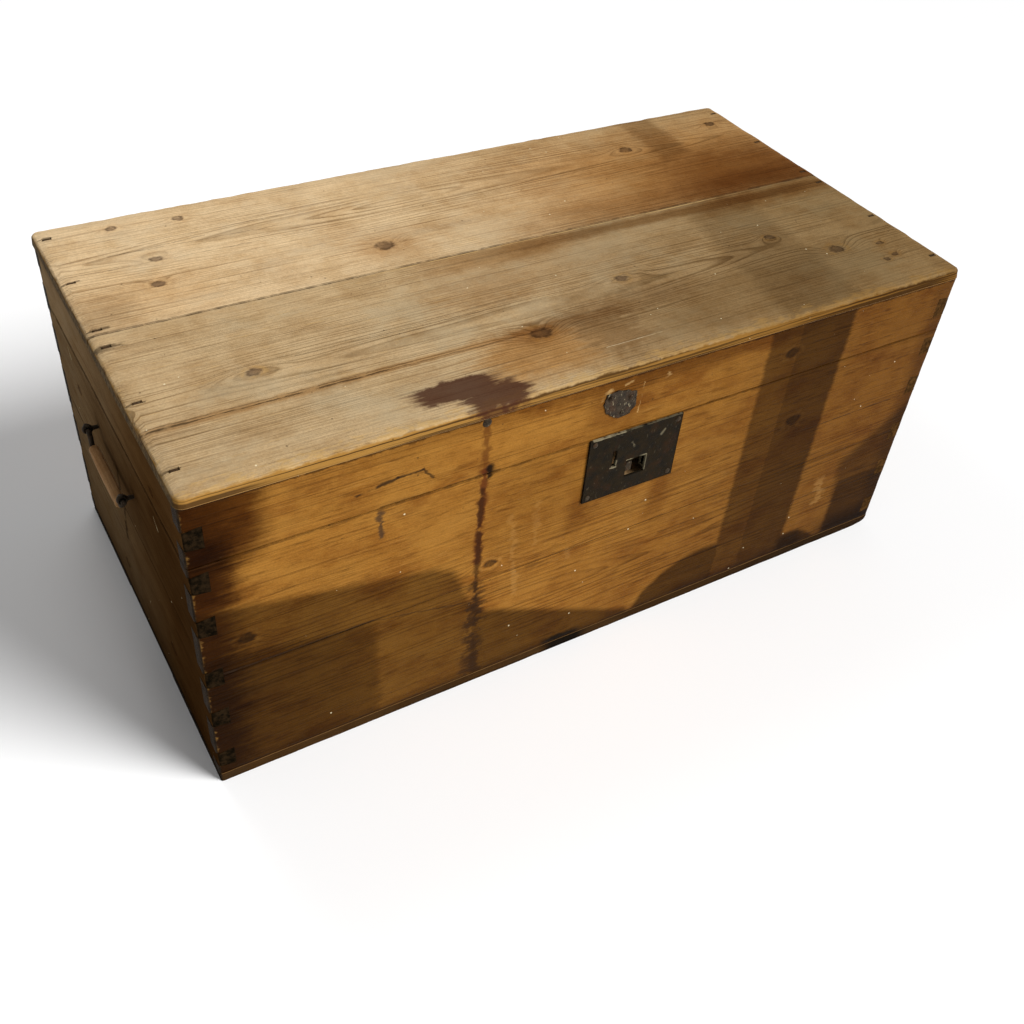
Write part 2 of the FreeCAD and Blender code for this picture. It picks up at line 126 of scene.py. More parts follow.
# %% [markdown]
# ## Hands on the mesh
# Blender's operators work on whatever is selected, so each step first lets everything go.
# Then it picks the points, edges or faces that it wants by where they are.
# These helpers are the hands for all the pieces below; they take millimetres, as the chest's drawing does.

# %% Helpers for taking hold of things
x_axis, y_axis, z_axis = 0, 1, 2
close_enough = 0.05
square_on = 0.9


def metres(*lengths):
    """Millimetres turned into Blender's metres."""
    return [length * mm for length in lengths]


def same(first, second):
    """Are two lengths the same, but for rounding?"""
    return abs(first - second) < close_enough


def let_go():
    """Leave edit mode and deselect everything."""
    if bpy.context.mode != "OBJECT":
        bpy.ops.object.mode_set(mode="OBJECT")
    bpy.ops.object.select_all(action="DESELECT")


def hold(piece):
    """Make one piece the selected and active one."""
    let_go()
    piece.select_set(True)
    bpy.context.view_layer.objects.active = piece


def open_up(piece):
    """Open one piece in edit mode."""
    hold(piece)
    bpy.ops.object.mode_set(mode="EDIT")


def take_all():
    """Select the whole open mesh."""
    bpy.ops.mesh.select_all(action="SELECT")


def pick(kind, test):
    """Select the points, edges or faces whose middle, in mm, passes a test."""
    bpy.ops.mesh.select_mode(type=kind)
    bpy.ops.mesh.select_all(action="DESELECT")
    mesh = bmesh.from_edit_mesh(bpy.context.object.data)
    parts = {"VERT": mesh.verts, "EDGE": mesh.edges, "FACE": mesh.faces}[kind]
    for part in parts:
        points = [part.co] if kind == "VERT" else [vert.co for vert in part.verts]
        if test(sum(points, Vector()) / len(points) / mm, part):
            part.select_set(True)
    mesh.select_flush_mode()
    bmesh.update_edit_mesh(bpy.context.object.data)


print("holding helpers ready")

# %% Helpers for shaping
def freeze(name):
    """Bake the active piece's place, turn and size into its mesh, and name it."""
    bpy.ops.object.transform_apply(location=True, rotation=True, scale=True)
    piece = bpy.context.object
    piece.name = piece.data.name = name
    return piece


def start_block(name, low, high):
    """Add a cube between two corners and open it in edit mode."""
    let_go()
    middle = [(a + b) / 2 * mm for a, b in zip(low, high)]
    size = [(b - a) * mm for a, b in zip(low, high)]
    bpy.ops.mesh.primitive_cube_add(size=1, location=middle, scale=size)
    piece = freeze(name)
    bpy.ops.object.mode_set(mode="EDIT")
    return piece


def slice_at(axis, places):
    """Cut the whole mesh across one axis at several places."""
    for place in places:
        spot, way = [0, 0, 0], [0, 0, 0]
        spot[axis], way[axis] = place * mm, 1
        take_all()
        bpy.ops.mesh.bisect(plane_co=spot, plane_no=way)


def shift(x=0, y=0, z=0):
    """Move what is selected."""
    bpy.ops.transform.translate(value=metres(x, y, z))


def pull_out(x=0, y=0, z=0):
    """Extrude what is selected."""
    bpy.ops.mesh.extrude_region_move(TRANSFORM_OT_translate={"value": metres(x, y, z)})


def round_edges(radius, steps=3):
    """Bevel the selected edges."""
    bpy.ops.mesh.bevel(offset=radius * mm, segments=steps, affect="EDGES")


def steps_between(low, high, step):
    """Even places between two ends, half a step off the ends."""
    count = max(1, round((high - low) / step))
    return [low + (high - low) * (i + 0.5) / count for i in range(count)]


print("shaping helpers ready")

# %% Helpers for finishing a mesh
def smooth(piece, angle):
    """Shade a piece smooth, but for edges that are sharper than an angle."""
    hold(piece)
    bpy.ops.object.shade_smooth_by_angle(angle=math.radians(angle))


def soften(piece, width, angle=35, steps=2):
    """Round every sharp edge with a Bevel modifier and shade the piece smooth."""
    hold(piece)
    rounding = piece.modifiers.new("soft_edges", "BEVEL")
    rounding.width = width * mm
    rounding.segments = steps
    rounding.limit_method = "ANGLE"
    rounding.angle_limit = math.radians(angle)
    bpy.ops.object.modifier_apply(modifier=rounding.name)
    smooth(piece, angle)


def dent(piece, depth, spread, test):
    """Wear the points that pass a test inwards with a cloudy Displace modifier."""
    hold(piece)
    worn = piece.vertex_groups.new(name="worn")
    worn.add([v.index for v in piece.data.vertices if test(v.co / mm)], 1.0, "REPLACE")
    pattern = bpy.data.textures.new(piece.name + "_dents", "CLOUDS")
    pattern.noise_scale = spread * mm
    wear = piece.modifiers.new("dents", "DISPLACE")
    wear.texture = pattern
    wear.vertex_group = worn.name
    wear.mid_level = 0
    wear.strength = -depth * mm
    bpy.ops.object.modifier_apply(modifier=wear.name)
    piece.vertex_groups.remove(piece.vertex_groups["worn"])


def merge(pieces):
    """Join several pieces into the first one."""
    hold(pieces[0])
    for piece in pieces[1:]:
        piece.select_set(True)
    if len(pieces) > 1:
        bpy.ops.object.join()
    return bpy.context.object


def cut(piece, boxes):
    """Sink boxes, given by two corners, into a piece with a Boolean modifier."""
    tools = []
    for low, high in boxes:
        tools.append(start_block("chisel", low, high))
        let_go()
    tool = merge(tools)
    hold(piece)
    chisel = piece.modifiers.new("chisel", "BOOLEAN")
    chisel.object = tool
    chisel.solver = "EXACT"
    bpy.ops.object.modifier_apply(modifier=chisel.name)
    bpy.data.objects.remove(tool)


def join_copies(first, places, name):
    """Copy one mesh to several places, in mm from where it stands, and join the copies."""
    copies = []
    for place in places:
        hold(first)
        bpy.ops.object.duplicate()
        shift(*place)
        copies.append(bpy.context.object)
    let_go()
    bpy.data.objects.remove(first)
    merge(copies)
    return freeze(name)


print("finishing helpers ready")

# %% [markdown]
# ## The sizes of the case
# These repeat the drawing: half the length, half the depth, and the heights where one board ends
# and the next begins. The corner joints are through dovetails. The end boards carry the pins,
# which are narrow outside and wider at the root.

# %% Sizes taken from the drawing
half_x, half_y, wall = 468.0, 242.0, 19.0
inner_x, inner_y = half_x - wall, half_y - wall
floor_top, rim, lid_low, lid_high, crown = 13.0, 320.0, 320.6, 392.0, 405.0
side_joint, end_joint = 167.0, 195.0
pin_half, flare, corner_round = 10.5, 2.6, 3.0
body_pins = [floor_top + (rim - floor_top) * share for share in (0.08, 0.30, 0.50, 0.74, 0.93)]
lid_pins = [lid_low + (lid_high - lid_low) * 0.46]
made = {}


def settle(piece, node, body):
    """Even out the shading, then tie the piece to its body and to the CAD node that it stands for."""
    hold(piece)
    even = piece.modifiers.new("even_shading", "WEIGHTED_NORMAL")
    even.keep_sharp = True
    bpy.ops.object.modifier_apply(modifier=even.name)
    let_go()
    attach(piece, body)
    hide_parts(node)
    made[node] = piece
    print(f"{piece.name}: {len(piece.data.polygons)} faces, moves with {body}")


print("the case is", 2 * half_x, "by", 2 * half_y, "mm, with pins at", body_pins)

# %% [markdown]
# ## How a wall board wears
# Boards that are glued edge to edge are made a little too wide, and sawn level at the joint
# after they are worn. So no softened edge is left there, and the dents run on across the joint.
# Only the outer edges are dented.

# %% Helpers for the wall boards
worn_heights = (floor_top, rim, lid_low, lid_high)
spare = 3.0
long_step, high_step = 24, 9
board_edge, board_dent, board_dent_spread = 0.4, 1.0, 12
skin_deep, corner_reach, rim_reach = 3, 4, 2


def trim(piece, height, keep):
    """Saw a piece level at a height and close it; keep is -1 for below and 1 for above."""
    open_up(piece)
    take_all()
    saw = (0, 0, height * mm)
    bpy.ops.mesh.bisect(plane_co=saw, plane_no=(0, 0, -keep), clear_outer=True, use_fill=True)
    let_go()


def glue_spare(low, high, joint):
    """The heights of a board with some spare wood at the joint."""
    return low - (spare if low == joint else 0), high + (spare if high == joint else 0)


def at_worn_edge(out, outmost, along, corner, height):
    """Is a point on the outer skin of a wall, and near a corner or a worn height?"""
    near_rim = min(abs(height - worn) for worn in worn_heights) < rim_reach
    return abs(out) > outmost - skin_deep and (abs(along) > corner - corner_reach or near_rim)


def finish_board(piece, axis, half_length, low, high, joint, worn):
    """Slice a wall board fine, soften and dent it, and saw off the spare wood at the joint."""
    slice_at(axis, steps_between(-half_length, half_length, long_step))
    slice_at(z_axis, steps_between(*glue_spare(low, high, joint), high_step))
    soften(piece, board_edge)
    dent(piece, board_dent, board_dent_spread, worn)
    if joint in (low, high):
        trim(piece, joint, 1 if low == joint else -1)


print("boards wear at heights", worn_heights)

# %% [markdown]
# ## Front and back boards
# Each starts as a plain block between the end boards.
# We slice it at the pins, pull the strips between them out as tails,
# and spread each tail's end so that it locks.
# The upright corners are rounded, and dents along the outer edges take off the machine look.

# %% Make the boards with tails
def tail_board(name, node, body, low, high, pins, side, seats=()):
    """A board along the front (side -1) or the back (side 1)."""
    face_y, back_y = sorted((side * half_y, side * inner_y))
    wide_low, wide_high = glue_spare(low, high, side_joint)
    piece = start_block(name, (-inner_x, face_y, wide_low), (inner_x, back_y, wide_high))
    roots = [(pin + way * (pin_half + flare), way) for pin in pins for way in (-1, 1)]
    roots = [(root, way) for root, way in roots if wide_low < root < wide_high]
    slice_at(z_axis, [root for root, way in roots])
    for end in (-1, 1):
        pick("FACE", lambda spot, face: end * face.normal.x > square_on
             and all(abs(spot.z - pin) > pin_half for pin in pins))
        pull_out(x=end * wall)
        for root, way in roots:
            pick("VERT", lambda spot, point: same(spot.x, end * half_x) and same(spot.z, root))
            shift(z=-way * flare)
    if seats:
        cut(piece, seats)
        open_up(piece)
    pick("EDGE", lambda spot, edge: same(abs(spot.x), half_x) and same(spot.y, side * half_y))
    round_edges(corner_round)
    finish_board(piece, x_axis, inner_x, low, high, side_joint,
                 lambda spot: at_worn_edge(spot.y, half_y, spot.x, half_x, spot.z))
    settle(piece, node, body)


lock_seat = [((-32.5, -243, 245.7), (68.1, -222, 314.3))]
leaf_middle, leaf_half, leaf_depth, over_cut = 300.0, 38.0, 2.2, 1.0
leaf_front, leaf_back = 225.0, half_y + over_cut
leaf_spans = [(middle - leaf_half, middle + leaf_half) for middle in (-leaf_middle, leaf_middle)]
low_leaf_seats = [
    ((start, leaf_front, rim - leaf_depth), (end, leaf_back, rim + over_cut)) for start, end in leaf_spans
]
high_leaf_seats = [
    ((start, leaf_front, lid_low - over_cut), (end, leaf_back, lid_low + leaf_depth))
    for start, end in leaf_spans
]
walls = (("front", -1, lock_seat, ()), ("back", 1, low_leaf_seats, high_leaf_seats))
for name, side, seats, lid_seats in walls:
    tail_board(f"{name}_plank_low", f"{name}_board_lower", "chest", floor_top, side_joint, body_pins, side)
    tail_board(f"{name}_plank_high", f"{name}_board_upper", "chest", side_joint, rim, body_pins, side, seats)
for name, side, seats, lid_seats in walls:
    tail_board(f"lid_{name}_plank", f"lid_{name}_rail", "lid", lid_low, lid_high, lid_pins, side, lid_seats)

# %% [markdown]
# ## End boards
# The end boards fill the gaps with their pins.
# A pin's sides slope, so the block is cut by slanted planes before the pins are pulled out of its edges.

# %% Make the boards with pins
def pin_board(name, node, body, low, high, pins, side):
    """A board across the left (side -1) or the right end (side 1)."""
    low_x, high_x = sorted((side * half_x, side * inner_x))
    wide_low, wide_high = glue_spare(low, high, end_joint)
    piece = start_block(name, (low_x, -inner_y, wide_low), (high_x, inner_y, wide_high))
    inside = [pin for pin in pins if low < pin < high]
    for pin in inside:
        for way in (-1, 1):
            take_all()
            bpy.ops.mesh.bisect(
                plane_co=metres(side * half_x, 0, pin + way * pin_half),
                plane_no=Vector((way * flare, 0, side * wall)).normalized(),
            )
    for end in (-1, 1):
        pick("FACE", lambda spot, face: end * face.normal.y > square_on
             and any(abs(spot.z - pin) < pin_half for pin in inside))
        pull_out(y=end * wall)
    pick("EDGE", lambda spot, edge: same(abs(spot.y), half_y) and same(spot.x, side * half_x))
    round_edges(corner_round)
    finish_board(piece, y_axis, inner_y, low, high, end_joint,
                 lambda spot: at_worn_edge(spot.x, half_x, spot.y, half_y, spot.z))
    settle(piece, node, body)


for name, side in (("left", -1), ("right", 1)):
    pin_board(f"{name}_plank_low", f"{name}_end_lower", "chest", floor_top, end_joint, body_pins, side)
    pin_board(f"{name}_plank_high", f"{name}_end_upper", "chest", end_joint, rim, body_pins, side)
    pin_board(f"lid_{name}_plank", f"lid_{name}_rail", "lid", lid_low, lid_high, lid_pins, side)

# %% [markdown]
# ## The lid's top
# Two wide planks meet at a joint that is a little askew, so one end of each joint edge is moved.
# The outer edge is bevelled into a round nosing, sliced fine and worn by two sizes of dents.
# Holes round the nail heads show where the wood has split and rotted away.

# %% Make the two top planks
top_x, top_y = 470.0, 244.0
joint_left, joint_right, joint_gap = 18.0, 14.0, 0.6
top_corner, nosing, nosing_steps, nosing_reach, nosing_clear = 10, 6, 5, 7, 3
top_step_x, top_step_y, top_edge = 7, 11, 0.8
wide_dents, fine_dents = (1.6, 26), (0.8, 6)
nail_x = half_x - 11.5
nail_ys = [share * half_y for share in (-0.85, -0.42, -0.02, 0.11, 0.50, 0.90)]
hole_half_x, hole_half_y, hole_depth = 5, 2.6, 2.4


def top_plank(name, node, side):
    """One plank of the top: the front one (side -1) or the rear one (side 1)."""
    left, right = joint_left + side * joint_gap / 2, joint_right + side * joint_gap / 2
    middle = (left + right) / 2
    low_y, high_y = sorted((side * top_y, middle))
    piece = start_block(name, (-top_x, low_y, lid_high), (top_x, high_y, crown))
    for end, place in ((-1, left), (1, right)):
        pick("VERT", lambda spot, point: end * spot.x > 0 and same(spot.y, middle))
        shift(y=place - middle)
    pick("EDGE", lambda spot, edge: same(abs(spot.x), top_x) and same(spot.y, side * top_y))
    round_edges(top_corner, nosing_steps)
    pick("EDGE", lambda spot, edge: same(spot.z, crown) and side * (spot.y - middle) > nosing_clear)
    round_edges(nosing, nosing_steps)
    slice_at(x_axis, steps_between(-top_x, top_x, top_step_x))
    slice_at(y_axis, steps_between(low_y, high_y, top_step_y))
    soften(piece, top_edge)

    def on_nosing(spot):
        outside = abs(spot.x) > top_x - nosing_reach or side * spot.y > top_y - nosing_reach
        return outside and spot.z > lid_high + nosing_clear

    dent(piece, *wide_dents, on_nosing)
    dent(piece, *fine_dents, on_nosing)
    cut(piece, [
        ((end * nail_x - hole_half_x, y - hole_half_y, crown - hole_depth),
         (end * nail_x + hole_half_x, y + hole_half_y, crown + over_cut))
        for end in (-1, 1) for y in nail_ys if side * (y - middle) > 0
    ])
    settle(piece, node, "lid")


top_plank("top_plank_front", "top_board_front", -1)
top_plank("top_plank_rear", "top_board_rear", 1)

# %% [markdown]
# ## Nails in the top
# Old cut nails have small oblong heads. One head is modelled, bevelled and copied to each place.
# Each copy gets its own mesh, and they are joined because the drawing counts them as one group.

# %% Make the nail heads of the top
head_half_x, head_half_y, head_thick, head_sunk = 3.5, 2.0, 1.6, 0.7
head_inset, head_rise, head_edge = 0.9, 0.35, 0.25
shank_inset, shank_length = 0.5, 34
head_top = crown - head_sunk
cut_nail = start_block(
    "cut_nail", (-head_half_x, -head_half_y, head_top - head_thick), (head_half_x, head_half_y, head_top)
)
pick("FACE", lambda spot, face: face.normal.z > square_on)
bpy.ops.mesh.inset(thickness=head_inset * mm)
shift(z=head_rise)
pick("FACE", lambda spot, face: face.normal.z < -square_on)
bpy.ops.mesh.inset(thickness=shank_inset * mm)
pull_out(z=-shank_length)
soften(cut_nail, head_edge)
top_nail_places = [(end * nail_x, y, 0) for end in (-1, 1) for y in nail_ys]
top_nails = join_copies(cut_nail, top_nail_places, "top_nail_heads")
settle(top_nails, "top_nails", "lid")

# %% [markdown]
# ## Bottom boards
# From outside only their edges show, as a thin dark strip under the walls.
# The right end has been dragged over floors until its lower edge went round, so that edge gets a big bevel.

# %% Make the bottom boards
bottom_gap, dragged_round, dragged_steps = 0.5, 11, 5
bottom_step, bottom_edge, foot_dents, foot_reach = 12, 0.8, (1.1, 16), 4
board_pitch = (2 * half_y + bottom_gap) / 3
for place, name in enumerate(("front", "middle", "rear")):
    start_y = -half_y + place * board_pitch
    low, high = (-half_x, start_y, 0), (half_x, start_y + board_pitch - bottom_gap, floor_top)
    piece = start_block(f"bottom_plank_{name}", low, high)
    pick("EDGE", lambda spot, edge: same(spot.x, half_x) and same(spot.z, 0))
    round_edges(dragged_round, dragged_steps)
    pick("EDGE", lambda spot, edge: same(abs(spot.y), half_y)
         and not same(edge.verts[0].co.z / mm, edge.verts[1].co.z / mm))
    round_edges(corner_round)
    slice_at(x_axis, steps_between(-half_x, half_x - bottom_step, bottom_step))
    soften(piece, bottom_edge)
    dent(piece, *foot_dents, lambda spot: spot.z < foot_reach
         and (abs(spot.y) > half_y - skin_deep or abs(spot.x) > half_x - skin_deep))
    settle(piece, f"bottom_board_{name}", "chest")

# %% [markdown]
# ## The lock plate
# A plain iron plate with a keyhole and a square slot for the staple of a hasp.
# The holes are chiselled out, every edge is softened, and shallow dents make it look forged.

# %% Make the lock plate
plate_low, plate_high, plate_step = (-42.45, -244.5, 234.0), (78.05, -242.0, rim), 7
staple_slot = ((10.6, -246, 254.0), (35.6, -240, 276.5))
keyhole = ((-10.0, -246, 274.5), (-5.0, -240, 296.0))
plate_edge, plate_dents, dented_front = 0.55, (0.6, 15), -243
plate = start_block("lock_face_plate", plate_low, plate_high)
for axis in (x_axis, z_axis):
    slice_at(axis, steps_between(plate_low[axis], plate_high[axis], plate_step))
let_go()
cut(plate, [staple_slot, keyhole])
soften(plate, plate_edge)
dent(plate, *plate_dents, lambda spot: spot.y < dented_front)
settle(plate, "lock_plate", "chest")

# %% [markdown]
# ## Round headed nails
# A nail head is half a sphere, pressed flat, with a short shank behind it.
# The nails of a plate are copies of one.

# %% Make the nail heads of the plates
tack_radius, tack_height, tack_dents = 3.3, 1.35, 3
tack_shank, shank_share, dent_share, head_back = 9, 0.6, 0.25, -0.1


def round_nail(name, radius, height, spread):
    """A low domed head that points to the front, with a short shank behind it."""
    let_go()
    bpy.ops.mesh.primitive_uv_sphere_add(segments=20, ring_count=10, radius=radius * mm)
    head = bpy.context.object
    head.name = head.data.name = name
    open_up(head)
    take_all()
    bpy.ops.transform.resize(value=(1, height / radius, 1), center_override=(0, 0, 0))
    bpy.ops.mesh.bisect(plane_co=(0, 0, 0), plane_no=(0, 1, 0), clear_outer=True, use_fill=True)
    pick("FACE", lambda spot, face: face.normal.y > square_on)
    bpy.ops.mesh.inset(thickness=radius * shank_share * mm)
    pull_out(y=tack_shank)
    let_go()
    dent(head, height * dent_share, spread, lambda spot: spot.y < head_back)
    smooth(head, angle=45)
    return head


tack_y = plate_low[1] + 0.1
tack_places = [(x, tack_y, z) for x in (-35.95, 71.55) for z in (240.5, 313.5)]
lock_nail = round_nail("lock_nail", tack_radius, tack_height, tack_dents)
lock_nails = join_copies(lock_nail, tack_places, "lock_nail_heads")
settle(lock_nails, "lock_plate_nails", "chest")

# %% [markdown]
# ## The torn hasp
# Only a scrap of the hasp's upper plate is left on the lid. It starts as a flat ten-sided disc.
# Each corner is pulled to its place on the torn outline, then the scrap is divided, thickened and battered.

# %% Pull a disc to the torn outline
hasp_left, hasp_low, hasp_width, hasp_height, hasp_back = -35.0, 339.0, 46.0, 39.0, -242.2
hasp_thick, hasp_step, disc_radius = 1.3, 2.0, 15
shrunk, ragged_by, ragged_seed, hasp_dents = 0.94, 1.3, 4, (1.1, 4.5)
torn_outline = [
    (0.04, 0.62), (0.10, 0.96), (0.38, 1.00), (0.70, 0.92), (0.98, 0.80),
    (1.00, 0.34), (0.86, 0.06), (0.52, 0.00), (0.30, 0.16), (0.14, 0.30),
]
centre = Vector((hasp_left + hasp_width / 2, hasp_back, hasp_low + hasp_height / 2))


def on_hasp(share_x, share_z, y=hasp_back):
    """A place on the hasp, given by shares of its width and height."""
    return Vector((hasp_left + share_x * hasp_width, y, hasp_low + share_z * hasp_height))


def bearing(place):
    """The direction from the hasp's centre to a place."""
    return math.atan2(place.z - centre.z, place.x - centre.x)


let_go()
bpy.ops.mesh.primitive_circle_add(
    vertices=len(torn_outline), radius=disc_radius * mm, fill_type="NGON",
    rotation=(quarter_turn, 0, 0), location=centre * mm,
)
torn = freeze("torn_hasp_plate")
corners = sorted((vert.co / mm for vert in torn.data.vertices), key=bearing)
goals = sorted((on_hasp(*shares) for shares in torn_outline), key=bearing)
open_up(torn)
for corner, goal in zip(corners, goals):
    pick("VERT", lambda spot, point: (spot - corner).length < close_enough)
    shift(*(goal - corner))
print("pulled", len(goals), "corners to the torn outline")

# %% Thicken and batter the torn plate
take_all()
bpy.ops.transform.resize(value=(shrunk, 1, shrunk), center_override=centre * mm)
bpy.ops.mesh.subdivide(number_cuts=3)
bpy.ops.transform.vertex_random(offset=ragged_by * mm, seed=ragged_seed)
bpy.ops.transform.resize(value=(1, 0, 1), center_override=centre * mm)
pull_out(y=-hasp_thick)
take_all()
bpy.ops.mesh.normals_make_consistent(inside=False)
slice_at(x_axis, steps_between(hasp_left, hasp_left + hasp_width, hasp_step))
slice_at(z_axis, steps_between(hasp_low, hasp_low + hasp_height, hasp_step))
let_go()
dent(torn, *hasp_dents, lambda spot: spot.y < dented_front)
smooth(torn, angle=35)
settle(torn, "hasp_plate", "lid")

# %% Nail the lid's iron
torn_nail_y, rail_nail_place = -243.4, (-168.7, -242.0, 386.0)
rail_nail_radius, rail_nail_height, rail_nail_dents = 5.0, 2.0, 4
torn_nail_places = [on_hasp(*shares, torn_nail_y) for shares in ((0.24, 0.76), (0.80, 0.62), (0.62, 0.18))]
torn_nail = round_nail("torn_nail", tack_radius, tack_height, tack_dents)
torn_nails = join_copies(torn_nail, torn_nail_places, "torn_nail_heads")
settle(torn_nails, "hasp_plate_nails", "lid")
large_nail = round_nail("large_nail", rail_nail_radius, rail_nail_height, rail_nail_dents)
rail_nail = join_copies(large_nail, [rail_nail_place], "large_nail_head")
settle(rail_nail, "rail_nail", "lid")

# %% [markdown]
# ## Drop handles
# The bail is one bent bar: a circle is pushed along straight runs and spun round each bend.
# The grip is a cylinder that is cut into rings, each ring scaled as a turner would shape it.
# The eyes are broad rings on spikes.

# %% Make a bail
handle_x, eye_height, grip_height = 480, 264, 247
grip_half, bend_radius, bar_radius, bar_tail = 49, 5, 2.8, 11
bar_end = grip_half + 2 * bend_radius + bar_tail


def bail_bar(name, x):
    """An iron bar that leaves one eye, hangs down, crosses and rises to the other eye."""
    let_go()
    bpy.ops.mesh.primitive_circle_add(
        vertices=16, radius=bar_radius * mm, fill_type="NGON",
        location=metres(x, -bar_end, eye_height), rotation=(quarter_turn, 0, 0),
    )
    bar = freeze(name)
    open_up(bar)
    take_all()

    def bend(y, z, way):
        bpy.ops.mesh.spin(steps=6, angle=-way * quarter_turn, center=metres(x, y, z), axis=(-1, 0, 0))

    high, low = eye_height - bend_radius, grip_height + bend_radius
    arm_y = grip_half + 2 * bend_radius
    pull_out(y=bar_tail)
    bend(-arm_y, high, 1)
    pull_out(z=low - high)
    bend(-grip_half, low, -1)
    pull_out(y=2 * grip_half)
    bend(grip_half, low, -1)
    pull_out(z=high - low)
    bend(arm_y, high, 1)
    pull_out(y=bar_tail)
    take_all()
    bpy.ops.mesh.remove_doubles(threshold=0.01 * mm)
    bpy.ops.mesh.normals_make_consistent(inside=False)
    soften(bar, 0.6, angle=50)
    return bar


print("a bail is", 2 * bar_end, "mm long over its tails")

# %% Turn a grip
grip_radius, belly_radius, end_taper = 5.2, 5.95, 0.75
bead_rings = ((43.5, 4.9), (45.5, 5.45), (47.5, 5.3))


def turned_grip(name, x):
    """A wooden grip, fuller in the middle, with a bead near each end."""
    let_go()
    bpy.ops.mesh.primitive_cylinder_add(
        vertices=32, radius=grip_radius * mm, depth=2 * grip_half * mm,
        location=metres(x, 0, grip_height), rotation=(quarter_turn, 0, 0),
    )
    grip = freeze(name)
    open_up(grip)
    rings = [(y, belly_radius - end_taper * (y / grip_half) ** 2) for y in range(-40, 41, 8)]
    rings += [(side * y, radius) for side in (-1, 1) for y, radius in bead_rings]
    slice_at(y_axis, [y for y, radius in rings])
    for y, radius in rings:
        pick("VERT", lambda spot, point: same(spot.y, y))
        share = radius / grip_radius
        bpy.ops.transform.resize(value=(share, 1, share), center_override=metres(x, y, grip_height))
    soften(grip, 0.8, angle=40)
    return grip


print("a grip is", 2 * grip_half, "mm long")

# %% Make a pair of eyes
eye_y, eye_radius, eye_wire, eye_breadth = 62.6, 4.35, 1.5, 1.9
spike_x, spike_length, spike_root, spike_tip = 464, 22, 2.6, 1.2


def eye_pair(name, side):
    """Two rings on spikes that are driven into the end board."""
    let_go()
    ring_place = metres(side * handle_x, 0, eye_height)
    bpy.ops.mesh.primitive_torus_add(
        location=ring_place, rotation=(quarter_turn, 0, 0), major_radius=eye_radius * mm,
        minor_radius=eye_wire * mm, major_segments=28, minor_segments=12,
    )
    ring = freeze("eye_ring")
    open_up(ring)
    take_all()
    bpy.ops.transform.resize(value=(1, eye_breadth, 1), center_override=ring_place)
    let_go()
    bpy.ops.mesh.primitive_cone_add(
        vertices=16, radius1=spike_root * mm, radius2=spike_tip * mm, depth=spike_length * mm,
        location=metres(side * spike_x, 0, eye_height), rotation=(0, -side * quarter_turn, 0),
    )
    spike = freeze("eye_spike")
    soften(spike, 0.4, angle=40)
    smooth(ring, angle=60)
    return join_copies(merge([ring, spike]), [(0, eye_y, 0), (0, -eye_y, 0)], name)


print("the eyes are", 2 * eye_y, "mm apart")

# %% Hang both handles
for name, side in (("left", -1), ("right", 1)):
    bail = bail_bar(f"{name}_bail", side * handle_x)
    settle(bail, f"{name}_handle_bail", f"{name}_handle")
    grip = turned_grip(f"{name}_grip", side * handle_x)
    settle(grip, f"{name}_handle_grip", f"{name}_handle")
    eyes = eye_pair(f"{name}_eyes", side)
    settle(eyes, f"{name}_handle_eyes", "chest")

# %% [markdown]
# ## The till
# A small lidded box inside the left end, made of thin boards that are let into the walls.
# Its lid turns on two round pivots, which are the ends of one round bar that is joined to the lid.

# %% Make the till
till_back, till_inside, till_front_x = -453, -339, -329
till_low, till_floor_top, till_rim, till_half_y = 172.6, 181.6, 261.6, 227
lid_board_low, lid_board_high = (-447, -217, 262), (-327, 217, 272)
pivot_x, pivot_height, pivot_radius, pivot_length = -440.5, 267, 4, 466
till_step, till_edge, floor_edge, lid_nosing, lid_nosing_steps = 20, 1.0, 0.8, 4, 4
rim_dents, lid_dents, rim_dents_from, lid_dents_from = (0.6, 15), (0.7, 15), 258, -333
till_front = start_block(
    "till_front_board", (till_inside, -till_half_y, till_floor_top), (till_front_x, till_half_y, till_rim)
)
slice_at(y_axis, steps_between(-till_half_y, till_half_y, till_step))
soften(till_front, till_edge)
dent(till_front, *rim_dents, lambda spot: spot.z > rim_dents_from)
settle(till_front, "till_front", "chest")
till_floor = start_block(
    "till_floor_board", (till_back, -till_half_y, till_low), (till_front_x, till_half_y, till_floor_top)
)
soften(till_floor, floor_edge)
settle(till_floor, "till_bottom", "chest")

# %% Make the till's lid
till_lid = start_block("till_lid_board", lid_board_low, lid_board_high)
pick("EDGE", lambda spot, edge: same(spot.x, lid_board_high[0]) and same(spot.z, lid_board_high[2]))
round_edges(lid_nosing, lid_nosing_steps)
slice_at(y_axis, steps_between(lid_board_low[1], lid_board_high[1], till_step))
soften(till_lid, floor_edge)
dent(till_lid, *lid_dents, lambda spot: spot.x > lid_dents_from)
let_go()
bpy.ops.mesh.primitive_cylinder_add(
    vertices=24, radius=pivot_radius * mm, depth=pivot_length * mm,
    location=metres(pivot_x, 0, pivot_height), rotation=(quarter_turn, 0, 0),
)
pivots = freeze("till_pivots")
soften(pivots, 0.6, angle=50)
settle(merge([till_lid, pivots]), "till_lid", "till_lid")

# %% [markdown]
# ## Wiring a finish
# A finish is a small network of nodes. The helpers below add a node, wire it and hand back its output.
# Colours are given as a painter reads them off a screen, from 0 to 255, and turned into linear light.

# %% Helpers for node wiring
def paint(red, green, blue):
    """A screen colour as a linear one."""
    shares = [value / 255 for value in (red, green, blue)]
    return [share / 12.92 if share < 0.0392 else ((share + 0.055) / 1.055) ** 2.4 for share in shares] + [1.0]


